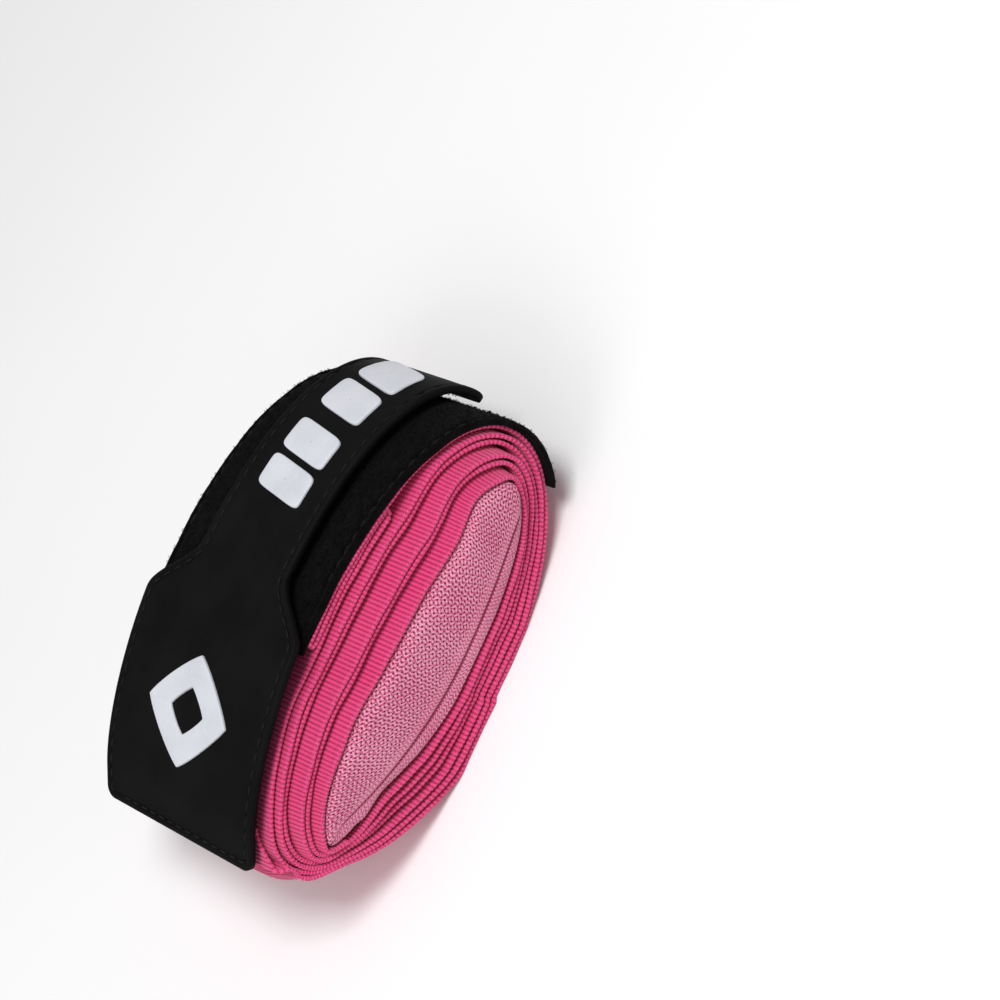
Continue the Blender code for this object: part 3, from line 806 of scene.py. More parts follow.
@dataclass(frozen=True)
class RibbedElastic:
    """Ribbed knitted elastic: ribs across the band, each a column of small loops, with painted shade in the
    grooves between them.
    """

    name: str = "ribbed_elastic"
    # crest is the band's own pink; groove is painted shade, the darker colour the band takes in the grooves
    # between its ribs.
    crest: Colour = (0.75, 0.052, 0.205)
    groove: Colour = (0.34, 0.006, 0.055)
    fuzz: Colour = (0.84, 0.15, 0.34)
    rib: float = 0.92
    loop: float = 0.62

    def build(self) -> bpy.types.Material:
        """Make the material.

        Returns:
            The material.
        """
        graph = Graph(self.name)
        along, across = graph.carried("along"), graph.carried("across")
        rib = along.wave(self.rib)
        column = (along * (1.0 / self.rib) + 0.5).floor()
        loops = (across + column * (self.loop * 0.5)).wave(self.loop)
        fibre, patch = graph.noise(0.25, 4.0), graph.noise(14.0, 2.0)
        relief = rib * 0.55 + loops * rib * 0.3 + fibre * 0.25
        # Painted shade: darker in the grooves between ribs and between loops; the fibre noise adds random
        # tone.
        shade = (rib * 0.72 + loops * 0.16 + fibre * 0.3).ease(0.08, 0.8)
        base = graph.mix(shade, self.groove, self.crest)
        edge = 1.0 - across.ease(0.2, 1.1) * (BAND_WIDTH - across).ease(0.2, 1.1)
        wear = (fibre - 0.42) * (edge * 1.1 + 0.35) * 1.6 + (patch - 0.5) * 0.22
        worn = graph.mix(wear, base, self.fuzz)
        return graph.finish(worn, 0.82 + fibre * 0.12, relief, 0.16,
                            {"Sheen Weight": 0.30, "Sheen Roughness": 0.45, "Specular IOR Level": 0.18})


@dataclass(frozen=True)
class HoledKnit:
    """Warp-knitted mesh with rows of small open holes, painted dark as shade, between zigzag columns of yarn.
    """

    name: str = "holed_knit"
    yarn: Colour = (0.76, 0.33, 0.46)
    shade: Colour = (0.50, 0.05, 0.155)
    # hole is painted shade: the dark colour inside the open holes.
    hole: Colour = (0.16, 0.004, 0.03)
    pitch: float = 0.95
    knit: float = 0.9

    @property
    def waves(self) -> tuple[float, float, float]:
        """The three-way lattice of holes: the wave along, and its slanted twins' along and across."""
        wave = 4.0 * math.pi / (math.sqrt(3.0) * self.pitch)
        return wave, wave * 0.5, wave * math.sqrt(3.0) / 2.0

    def build(self) -> bpy.types.Material:
        """Make the material.

        Returns:
            The material.
        """
        graph = Graph(self.name)
        along, across, open_share = (graph.carried(name) for name in ("along", "across", "open"))
        wave, half_wave, slant = self.waves
        lattice = ((along * wave).cosine() + (along * half_wave + across * slant).cosine()
                   + (along * half_wave - across * slant).cosine())
        hole = lattice.ease(0.9, 2.3) * open_share
        zigzag = along + across.wave(self.knit * 1.6) * 0.5
        wale = zigzag.wave(self.knit) * 0.8 + (across - along * 0.3).wave(self.knit * 0.8) * 0.2
        fibre, patch = graph.noise(0.22, 4.0), graph.noise(9.0, 2.0)
        shade = (wale * 0.85 + fibre * 0.45 + (patch - 0.5) * 0.5).ease(0.2, 1.05)
        yarn = graph.mix(shade, self.shade, self.yarn)
        relief = wale * 0.35 + fibre * 0.25 - hole * 0.9
        # The hole mask lays the hole colour in as painted shade, and also sinks the bump.
        return graph.finish(graph.mix(hole, yarn, self.hole), 0.8 + fibre * 0.15, relief, 0.2,
                            {"Sheen Weight": 0.25, "Sheen Roughness": 0.5, "Specular IOR Level": 0.2})


@dataclass(frozen=True)
class MouldedRubber:
    """Matt moulded rubber with a fine grain."""

    name: str
    dark: Colour
    light: Colour
    rough: float = 0.5
    grain: float = 0.32
    shine: float = 0.035

    def build(self) -> bpy.types.Material:
        """Make the material.

        Returns:
            The material.
        """
        graph = Graph(self.name)
        grain, patch, dust = graph.cells(self.grain), graph.noise(11.0, 3.0), graph.noise(1.2, 4.0)
        speck = dust.ease(0.58, 0.72)
        colour = graph.mix(patch.ease(0.3, 0.7) * 0.7 + speck * 0.3, self.dark, self.light)
        relief = grain * 0.7 + dust * 0.3
        return graph.finish(colour, self.rough + patch * 0.14 + speck * 0.05, relief, 0.035,
                            {"Specular IOR Level": self.shine})


@dataclass(frozen=True)
class NapPile:
    """Black napped loop pile."""

    name: str = "loop_nap"
    dark: Colour = (0.0007, 0.0006, 0.0007)
    light: Colour = (0.0045, 0.0038, 0.0045)

    def build(self) -> bpy.types.Material:
        """Make the material.

        Returns:
            The material.
        """
        graph = Graph(self.name)
        nap, clump = graph.noise(0.35, 5.0), graph.noise(2.6, 3.0)
        colour = graph.mix((nap * 0.7 + clump * 0.5).ease(0.4, 0.85), self.dark, self.light)
        return graph.finish(colour, 0.9 + nap * 0.1, nap * 0.7 + clump * 0.3, 0.5,
                            {"Sheen Weight": 0.015, "Sheen Roughness": 0.6, "Specular IOR Level": 0.05})


@dataclass(frozen=True)
class Woven:
    """Plain woven webbing or tape."""

    name: str
    dark: Colour
    light: Colour
    pitch: float = 0.8

    def build(self) -> bpy.types.Material:
        """Make the material.

        Returns:
            The material.
        """
        graph = Graph(self.name)
        along, across = graph.carried("along"), graph.carried("across")
        over = (along.wave(self.pitch) * 2.0 - 1.0) * (across.wave(self.pitch) * 2.0 - 1.0)
        weave, fibre = over * 0.5 + 0.5, graph.noise(0.2, 4.0)
        colour = graph.mix((weave * 0.7 + fibre * 0.4).ease(0.1, 0.95), self.dark, self.light)
        return graph.finish(colour, 0.72 + fibre * 0.2, weave * 0.8 + fibre * 0.2, 0.12,
                            {"Specular IOR Level": 0.25})


@dataclass(frozen=True)
class TwistedThread:
    """Polyester thread with a visible twist."""

    name: str = "twisted_thread"
    dark: Colour = (0.002, 0.002, 0.002)
    light: Colour = (0.013, 0.013, 0.014)

    def build(self) -> bpy.types.Material:
        """Make the material.

        Returns:
            The material.
        """
        graph = Graph(self.name)
        twist, fibre = (graph.carried("along") + graph.carried("across")).wave(0.42), graph.noise(0.15, 3.0)
        colour = graph.mix((twist * 0.6 + fibre * 0.5).ease(0.2, 0.9), self.dark, self.light)
        return graph.finish(colour, 0.5 + fibre * 0.2, twist, 0.06, {"Specular IOR Level": 0.15})


@dataclass(frozen=True)
class OpenFoam:
    """Open-cell foam."""

    name: str = "open_foam"
    dark: Colour = (0.42, 0.38, 0.28)
    light: Colour = (0.78, 0.74, 0.62)

    def build(self) -> bpy.types.Material:
        """Make the material.

        Returns:
            The material.
        """
        graph = Graph(self.name)
        cells, patch = graph.cells(0.9), graph.noise(12.0, 2.0)
        colour = graph.mix((cells * 0.9 + patch * 0.4).ease(0.15, 0.9), self.light, self.dark)
        return graph.finish(colour, 0.95 - patch * 0.05, 1.0 - cells, 0.3, {"Specular IOR Level": 0.2})


class Palette:
    """Every finish of the wrap, made once."""

    def __init__(self) -> None:
        """Build the materials."""
        self.by_slot: dict[Slot, bpy.types.Material] = {
            Slot.ELASTIC: RibbedElastic().build(),
            Slot.MESH: HoledKnit().build(),
            Slot.FOAM: OpenFoam().build(),
            Slot.PILE: NapPile().build(),
            Slot.HOOKS: Woven("hook_base", (0.004, 0.004, 0.004), (0.022, 0.022, 0.023), 0.5).build(),
            Slot.WEBBING: Woven("lining_web", (0.003, 0.003, 0.003), (0.02, 0.02, 0.021)).build(),
            Slot.RUBBER: MouldedRubber("strap_rubber", (0.0042, 0.0042, 0.0042),
                                       (0.007, 0.007, 0.007)).build(),
            Slot.THREAD: TwistedThread().build(),
            Slot.MARK: MouldedRubber("mark_rubber", (0.56, 0.575, 0.63), (0.66, 0.67, 0.71),
                                     rough=0.42, grain=0.4, shine=0.4).build(),
        }

    def dress(self, piece: bpy.types.Object, slot: Slot) -> bpy.types.Object:
        """Give a piece the finish of a slot, and report it.

        Args:
            piece: The piece.
            slot: The slot.

        Returns:
            The same piece.
        """
        piece.data.materials.clear()
        piece.data.materials.append(self.by_slot[slot])
        LOG.info("%s: %d faces, %s", piece.name, len(piece.data.polygons), slot.value)
        return piece


# ---------------------------------------------------------------------------------------------------
# The band
# ---------------------------------------------------------------------------------------------------
@dataclass
class WoundBand:
    """The elastic band, wound from its sewn end inwards."""

    width: float = BAND_WIDTH
    rib: float = RibbedElastic.rib
    stations_per_rib: int = 4
    rib_depth: float = 0.11
    rib_bump: float = 0.06
    ripple: float = 0.10
    ripple_length: float = 60.0
    edge_wander: float = 0.22
    edge_wander_length: float = 34.0
    edge_offsets: tuple[float, ...] = (0.0, 0.1, 0.38, 0.95, 2.2, 4.4, 6.8, 9.2, 11.6, 15.0)
    edge_heights: tuple[float, ...] = (0.0, 0.72, 1.08, 1.0)
    length: float = field(init=False, default=0.0)

    def cross_section(self) -> tuple[Array, Array]:
        """One ring of the band.

        Returns:
            Offsets from the near edge, and heights as shares of half the thickness.
        """
        near = np.array(self.edge_offsets)
        offsets = np.concatenate([near, [self.width / 2.0], self.width - near[::-1]])
        rise = np.interp(np.minimum(offsets, self.width - offsets),
                         self.edge_offsets[:len(self.edge_heights)], self.edge_heights)
        return np.concatenate([offsets, offsets[-2:0:-1]]), np.concatenate([rise, -rise[-2:0:-1]])

    def rows(self, points: Array, skews: Array, shares: Array | None, half: float,
             seed: int) -> tuple[Array, Array]:
        """Rings of ribbed band along a line.

        Args:
            points: XZ points of the middle line.
            skews: The push along +Y at each.
            shares: The share of the near end's slump at each, or None for a band that keeps its shape.
            half: Half the thickness.
            seed: Which irregularity.

        Returns:
            Points as rows by ring by XYZ, and the distance along the band at each row.
        """
        steps = lengths_along(points)
        count = int(steps[-1] / self.rib * self.stations_per_rib)
        along = np.linspace(0.0, steps[-1], count)
        line = points_at(along, steps, points)
        skew = np.interp(along, steps, skews)
        slope = np.gradient(line, axis=0)
        for _ in range(3):
            slope[1:-1] = (slope[:-2] + 2.0 * slope[1:-1] + slope[2:]) / 4.0
        slope /= np.linalg.norm(slope, axis=1, keepdims=True)
        normal = np.stack([slope[:, 1], -slope[:, 0]], -1)

        offsets, rise = self.cross_section()
        groove = (0.5 - 0.5 * np.cos(along * 2.0 * math.pi / self.rib))[:, None]
        height = rise * (half - self.rib_depth * groove)
        near = smooth((SLUMP.fade - offsets) / SLUMP.fade)
        waves = self.ripple * wander(along, seed, self.ripple_length)[:, None] * near
        drawn = waves[..., None] * normal[:, None]
        if shares is not None:
            shift = SLUMP.at(line, np.interp(along, steps, shares))
            drawn = drawn + shift[:, None] * near[..., None]
        place = line[:, None] + normal[:, None] * height[..., None] + drawn
        at_edge = np.minimum(offsets, self.width - offsets) < 1.0
        side = np.where(offsets < self.width / 2.0, 1.0, -1.0) * at_edge
        uneven = self.edge_wander * wander(along, seed + 1, self.edge_wander_length)[:, None]
        y = skew[:, None] + offsets - self.width / 2.0 + side * (self.rib_bump * groove + uneven)
        return np.stack([place[..., 0], y, place[..., 1]], -1), along

    def build(self, palette: Palette) -> bpy.types.Object:
        """Wind the band.

        Args:
            palette: The finishes.

        Returns:
            The band.
        """
        points, skews, shares = WINDING.path()
        rows, along = self.rows(points, skews, shares, WINDING.thickness / 2.0, 11)
        self.length = float(along[-1])
        offsets = self.cross_section()[0]
        band = BENCH.loft("wound_band", rows, along[:, None], offsets[None])
        palette.dress(band, Slot.ELASTIC)
        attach(band, Body.ROLL.value)
        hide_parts("elastic_band")
        return band


# ---------------------------------------------------------------------------------------------------
# The padded sleeve
# ---------------------------------------------------------------------------------------------------
@dataclass
class PaddedSleeve:
    """The knitted sleeve with its two foam cushions and the thumb loop folded in its slit."""

    half_width: float = BAND_WIDTH / 2.0
    skew: float = WINDING.skew_top[-1]
    gap: float = 0.3
    slit_half_length: float = 35.0
    slit_height: float = 3.8
    slit_z: float = 13.6
    slit_sag: float = 2.2
    slit_tilt: float = 1.2
    lip_half_length: float = 34.6
    lip_gap: float = 0.12
    lip_x: float = 5.0
    lip_z: float = 11.4
    lip_curves: tuple[float, float] = (0.0066, 0.0030)
    arc_step: float = 0.3
    core_share: float = 1.04
    mesh_reach: float = 30.0
    dimple_depth: float = 0.2
    foam_half_width: float = 20.0
    foam_skin: float = 1.1
    loop_half_length: float = 19.0
    loop_width: float = 15.0
    loop_thickness: float = 0.8
    loop_gap: float = 0.2

    def outline(self, angle: Array) -> Array:
        """The sleeve's outer face inside the band.

        Args:
            angle: Angles in degrees.

        Returns:
            The points.
        """
        stack = WINDING.pitch * WINDING.turns + self.gap + 0.05
        x = SECTION.point(angle, 0.0)[..., 0]
        layers = WINDING.turns - 1 + WINDING.layers_above(x)
        over = WINDING.pitch * layers + WINDING.thickness + self.gap
        top = np.sin(np.radians(angle)) > 0.0
        inset = np.where(top, np.maximum(over, stack - WINDING.pitch), stack)
        turn = angle % FULL_TURN
        inset += WINDING.pitch * (ramp(turn, 172.0, 10.0) - ramp(turn, 210.0, 12.0))
        return SECTION.point(angle, inset)

    def lip(self, angle: Array) -> Array:
        """The line of the closed lips at the near end.

        Args:
            angle: Angles in degrees.

        Returns:
            XZ points.
        """
        x = self.lip_half_length * np.cos(np.radians(angle))
        reach = x - self.lip_x
        z = self.lip_z + np.where(reach < 0.0, *self.lip_curves) * reach ** 2
        return np.stack([x, z + self.lip_gap * np.sign(np.sin(np.radians(angle)))], -1)

    def slit_middle(self, x: Array | float) -> Array | float:
        """The height of the slit's middle at x."""
        share = x / self.slit_half_length
        return self.slit_z + self.slit_sag * share ** 2 - self.slit_tilt * share

    def slit(self, angle: Array) -> Array:
        """The slit between the two walls, inside the sleeve.

        Args:
            angle: Angles in degrees.

        Returns:
            XZ points.
        """
        share = np.cos(np.radians(angle))
        half = self.slit_height / 2.0 * np.sqrt(np.maximum(0.0, 1.0 - share ** 2))
        x = self.slit_half_length * share
        return np.stack([x, self.slit_middle(x) + half * np.sign(np.sin(np.radians(angle)))], -1)

    def end_y(self, z: Array, far: bool) -> Array:
        """Where the sleeve ends at a height, at its near or far end."""
        lean = self.skew * z / (2.0 * SECTION.half_thickness)
        return lean + self.half_width if far else lean - self.half_width

    def angles(self) -> Array:
        """Angles in degrees, spaced evenly along the end face between its lips and its outline.

        Returns:
            One angle for each ring.
        """
        fine = np.linspace(0.0, FULL_TURN, 2881)
        steps = lengths_along(lerp(self.lip(fine), self.outline(fine), 0.7))
        count = int(steps[-1] / self.arc_step)
        return np.interp(np.linspace(0.0, steps[-1], count, endpoint=False), steps, fine)

    def profile(self, angle: Array) -> tuple[Array, Array]:
        """Every ring of the sleeve: out from the near lips, along the outside, in at the far end.

        Args:
            angle: The angle of each ring.

        Returns:
            Points as rings by profile by XYZ, and the distance from the lips at each.
        """
        lip, outer, slit = self.lip(angle), self.outline(angle), self.slit(angle)
        drawn = SLUMP.at(outer, np.full(len(angle), self.core_share))
        near_outer = outer + drawn
        columns: list[Array] = []

        def add(xz: Array, y: Array | float) -> None:
            """Add one point to each ring."""
            columns.append(np.stack([xz[:, 0], np.broadcast_to(y, len(xz)), xz[:, 1]], -1))

        upper = np.sin(np.radians(angle)) > 0.0
        span = np.linalg.norm(near_outer - lip, axis=1)
        lip_y, rim_y = self.end_y(lip[:, 1], False) - 0.2, self.end_y(near_outer[:, 1], False)
        for reach in np.linspace(0.0, 0.97, 46):
            puff = np.where(upper, 0.85, 0.5) * np.minimum(1.0, span / 9.0)
            bulge = puff * (math.sin(math.pi * reach ** 0.8) ** 0.7 if 0.0 < reach else 0.0)
            tuck = 0.9 * max(0.0, 1.0 - reach * 13.0) ** 2
            drop = 1.1 * max(0.0, (reach - 0.86) / 0.11) ** 2
            add(lerp(lip, near_outer, reach), lerp(lip_y, rim_y, reach) - bulge + tuck + drop)
        inward = (lip - near_outer) / np.maximum(span, 0.1)[:, None]
        for turn in (0.35, 0.7):
            add(near_outer + inward * 0.03 * span[:, None] * (1.0 - turn), rim_y + 1.1 + turn * 1.4)
        depths = [11.0, 15.0, 20.0, 26.0, 32.0, 38.0, 44.0, 47.0]
        for deep in np.concatenate([np.arange(3.2, 9.0, 0.6), depths]):
            back = float(smooth((SLUMP.fade - deep) / SLUMP.fade))
            add(outer + drawn * back, self.end_y(outer[:, 1], False) + deep)
        far_y = self.end_y(outer[:, 1], True)
        add(lerp(outer, slit, 0.03), far_y - 1.0)
        add(lerp(outer, slit, 0.12), far_y - 0.1)
        for reach in (0.3, 0.55, 0.8, 0.95):
            add(lerp(outer, slit, reach), far_y + 0.35 * math.sin(math.pi * reach))
        add(slit, self.end_y(slit[:, 1], True) - 1.2)
        for deep in (45.0, 38.0, 30.0, 22.0, 14.0, 8.0):
            add(slit, self.end_y(slit[:, 1], False) + deep)
        for deep, share in ((5.0, 0.35), (3.0, 0.75), (1.6, 0.97)):
            add(lerp(slit, lip, share), self.end_y(slit[:, 1], False) + deep)
        rings = np.stack(columns, 1)
        steps = np.linalg.norm(np.diff(rings, axis=1), axis=2)
        return rings, np.concatenate([np.zeros((len(angle), 1)), np.cumsum(steps, 1)], 1)

    def build_sleeve(self, palette: Palette) -> bpy.types.Object:
        """Knit the sleeve, with each hole of the mesh dimpled in.

        Args:
            palette: The finishes.

        Returns:
            The piece.
        """
        angle = self.angles()
        rings, across = self.profile(angle)
        along = (np.arange(len(angle)) * self.arc_step)[:, None]
        upper = (np.sin(np.radians(angle)) > 0.0)[:, None]
        openness = np.where(upper, ramp(across, 2.6, 1.6), 0.35 * ramp(across, 1.0, 1.0))
        wave, half_wave, slant = HoledKnit().waves
        lattice = (np.cos(along * wave) + np.cos(along * half_wave + across * slant)
                   + np.cos(along * half_wave - across * slant))
        dimple = ramp(lattice, 0.8, 1.8) * openness * (across < self.mesh_reach) * self.dimple_depth
        slopes = np.cross(np.gradient(rings, axis=0), np.gradient(rings, axis=1))
        normal = slopes / np.maximum(np.linalg.norm(slopes, axis=2, keepdims=True), 1e-9)
        facing = -np.sign(normal[:, 20, 1].mean())
        grown = rings - normal * facing * dimple[..., None]
        sleeve = BENCH.loft("knit_sleeve", grown, np.broadcast_to(along, across.shape), across, True,
                            {"open": openness}, 75.0)
        palette.dress(sleeve, Slot.MESH)
        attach(sleeve, Body.ROLL.value)
        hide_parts("pad_sleeve")
        return sleeve

    def build_foams(self, palette: Palette) -> list[bpy.types.Object]:
        """Make the foam inside: a thin palm strip and a thick knuckle cushion.

        Args:
            palette: The finishes.

        Returns:
            The pieces.
        """
        foams = []
        turns = np.linspace(0.0, 2.0 * math.pi, 24, endpoint=False)
        rise, side = signed_power(np.sin(turns), 0.4), signed_power(np.cos(turns), 0.3)
        for name, node, start, end in (("palm_cushion", "palm_foam", 224.0, 338.0),
                                       ("knuckle_cushion", "knuckle_foam", 14.0, 166.0)):
            angle = np.linspace(start, end, 40)
            outer, inner = self.outline(angle), self.slit(angle)
            way = inner - outer
            depth = np.linalg.norm(way, axis=1, keepdims=True)
            ends = np.maximum(np.sin(np.linspace(0.0, math.pi, len(angle))) ** 0.25, 0.2)[:, None]
            reach = (depth / 2.0 - self.foam_skin) * ends * rise
            xz = ((outer + inner) / 2.0)[:, None] - (way / depth)[:, None] * reach[..., None]
            near_end = self.end_y(xz[..., 1], False)
            y = near_end + self.half_width + side * self.foam_half_width
            near = smooth((SLUMP.fade - y + near_end) / SLUMP.fade)
            xz = xz + SLUMP.at(xz, np.full(xz.shape[:-1], self.core_share)) * near[..., None]
            rows = np.stack([xz[..., 0], y, xz[..., 1]], -1)
            foam = BENCH.loft(name, rows, np.linspace(0.0, 80.0, len(angle))[:, None], turns[None] * 8.0)
            palette.dress(foam, Slot.FOAM)
            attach(foam, Body.ROLL.value)
            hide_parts(node)
            foams.append(foam)
        return foams

    def build_thumb_loop(self, palette: Palette) -> bpy.types.Object:
        """Fold the thumb loop flat inside the slit.

        Args:
            palette: The finishes.

        Returns:
            The piece.
        """
        half, width = self.loop_half_length, self.loop_width
        x = np.arange(-half, half, 0.7)
        rise = self.slit_middle(x)
        turns = np.radians(np.arange(-80.0, 81.0, 20.0))
        reach = self.loop_gap + self.loop_thickness / 2.0
        bend = np.stack([half + np.cos(turns) * reach, self.slit_middle(half) + np.sin(turns) * reach], -1)
        line = np.vstack([np.stack([x, rise - reach], -1), bend, np.stack([x, rise + reach], -1)[::-1]])
        band = WoundBand(width=width, edge_offsets=(0.0, 0.1, 0.38, 0.95, 2.5))
        skew = np.full(len(line), self.skew * self.slit_z / (2.0 * SECTION.half_thickness))
        rows, along = band.rows(line, skew, None, self.loop_thickness / 2.0, 31)
        loop = BENCH.loft("folded_thumb_loop", rows, along[:, None], band.cross_section()[0][None])
        palette.dress(loop, Slot.ELASTIC)
        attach(loop, Body.ROLL.value)
        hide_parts("thumb_loop")
        return loop


# ---------------------------------------------------------------------------------------------------
# The loop patch
# ---------------------------------------------------------------------------------------------------
@dataclass
class LoopPatch:
    """The pile patch sewn over the band's last turn, and its stitching."""

    width: float = BAND_WIDTH
    start_x: float = -8.0
    lift: float = 0.12
    thickness: float = 1.35
    seam_inset: float = 1.6
    seam_start_x: float = 7.0
    seam_pitch: float = 3.0
    seam_stitch: float = 2.3
    loops: int = 7000
    length: float = field(init=False, default=0.0)

    @staticmethod
    def skew(length: Array) -> Array:
        """The band's own push along +Y under the rail."""
        height = RAIL.at(length)[0][..., 1] / (2.0 * SECTION.half_thickness)
        return lerp(WINDING.skew_bottom[0], WINDING.skew_top[0], height)

    def top(self, length: Array, edge: Array) -> Array:
        """The nap's height over the rail, by length and the distance to the nearest edge.

        Args:
            length: Lengths along the rail.
            edge: Distances to the nearest edge.

        Returns:
            Heights in mm.
        """
        lump = 0.07 * np.sin(length * 3.1 + 2.0 * np.sin(edge * 1.3)) * np.sin(edge * 2.3 + 0.7 * length)
        seam = 0.45 * np.exp(-((edge - self.seam_inset) / 0.45) ** 2)
        edges = self.thickness * lerp(0.45, 1.0, smooth(edge / 0.7))
        return self.lift + edges - seam + lump * smooth(edge)

    def build_patch(self, palette: Palette) -> bpy.types.Object:
        """Lay the patch.

        Args:
            palette: The finishes.

        Returns:
            The piece.
        """
        start, end = RAIL.length_at_x(self.start_x), RAIL.end
        self.length = end - start
        soft = np.array([0.0, 0.15, 0.4])
        length = np.concatenate([start + soft, np.arange(start + 0.8, end - 0.6, 0.45), end - soft[::-1]])
        length = length[:, None]
        near = np.array([0.0, 0.2, 0.45, 0.8, 1.15, 1.35, 1.6, 1.85, 2.1, 2.6, 3.2])
        inner = np.arange(4.0, self.width - 3.9, 0.7)
        across = np.concatenate([near, inner, self.width - near[::-1]])[None]
        edge = np.minimum(np.minimum(across, self.width - across), np.minimum(length - start, end - length))
        side = self.skew(length) - self.width / 2.0 + 0.15 * wander(length, 5, 20.0)
        upper = RAIL.lay(length, side + across, self.top(length, edge))
        under_across = self.width * np.array([0.0, 0.02, 0.16, 0.5, 0.84, 0.98, 1.0])[None]
        under = RAIL.lay(length, side + under_across, np.array(self.lift))[:, ::-1]
        rows = np.concatenate([upper, under], 1)
        ring = np.concatenate([across, under_across[:, ::-1]], 1)
        patch = BENCH.loft("pile_patch", rows, length, ring)
        palette.dress(patch, Slot.PILE)
        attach(patch, Body.ROLL.value)
        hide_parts("loop_patch")
        return patch

    def build_nap(self, palette: Palette) -> bpy.types.Object:
        """Stand small loops of fibre on the patch.

        Args:
            palette: The finishes.

        Returns:
            The piece.
        """
        rng = np.random.default_rng(3)
        start, end = RAIL.length_at_x(self.start_x) + 0.5, RAIL.end - 0.5
        length, across = rng.uniform(start, end, self.loops), rng.uniform(0.3, self.width - 0.3, self.loops)
        heading, size = rng.uniform(0.0, math.pi, self.loops), rng.uniform(0.3, 0.6, self.loops)
        share = np.linspace(0.0, 1.0, 6)[None]
        reach = (share - 0.5) * size[:, None]
        place = length[:, None] + np.cos(heading)[:, None] * reach
        offset = across[:, None] + np.sin(heading)[:, None] * reach
        edge = np.minimum(across, self.width - across)[:, None]
        base = self.top(length[:, None], edge) - 0.12
        rise = np.sin(math.pi * share) * (size[:, None] * 0.75 + 0.05)
        y = self.skew(place) - self.width / 2.0 + offset
        path = RAIL.lay(place, y, base + rise)
        lean = np.stack([-np.sin(heading), np.cos(heading), 0.3 * heading], -1)[:, None]
        rings = tube_rings(path, np.broadcast_to(lean, path.shape), np.full(path.shape[:2], 0.045), 3)
        nap = BENCH.scatter("patch_nap", rings)
        palette.dress(nap, Slot.PILE)
        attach(nap, Body.ROLL.value)
        return nap

    def build_seams(self, palette: Palette) -> list[bpy.types.Object]:
        """Stitch the patch's two long edges.

        Args:
            palette: The finishes.

        Returns:
            The pieces.
        """
        seams = []
        start, end = RAIL.length_at_x(self.seam_start_x), RAIL.end - 1.9
        for label, across in (("near", self.seam_inset), ("far", self.width - self.seam_inset)):
            firsts = np.arange(start, end - 2.0, self.seam_pitch)
            length = firsts[:, None] + np.linspace(0.0, self.seam_stitch, 6)[None]
            y = self.skew(length) - self.width / 2.0 + across
            edge = np.full_like(length, self.seam_inset)
            arch = 0.16 * np.sin(np.linspace(0.0, math.pi, 6))[None]
            path = RAIL.lay(length, y, self.top(length, edge) + arch - 0.02)
            radius = np.broadcast_to(np.array([0.08, 0.18, 0.22, 0.22, 0.18, 0.08]), length.shape)
            rings = tube_rings(path, RAIL.up(length), radius, 6)
            seam = BENCH.scatter(f"patch_stitches_{label}", rings, 2.4)
            palette.dress(seam, Slot.THREAD)
            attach(seam, Body.ROLL.value)
            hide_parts(f"patch_seam_{label}")
            seams.append(seam)
        return seams


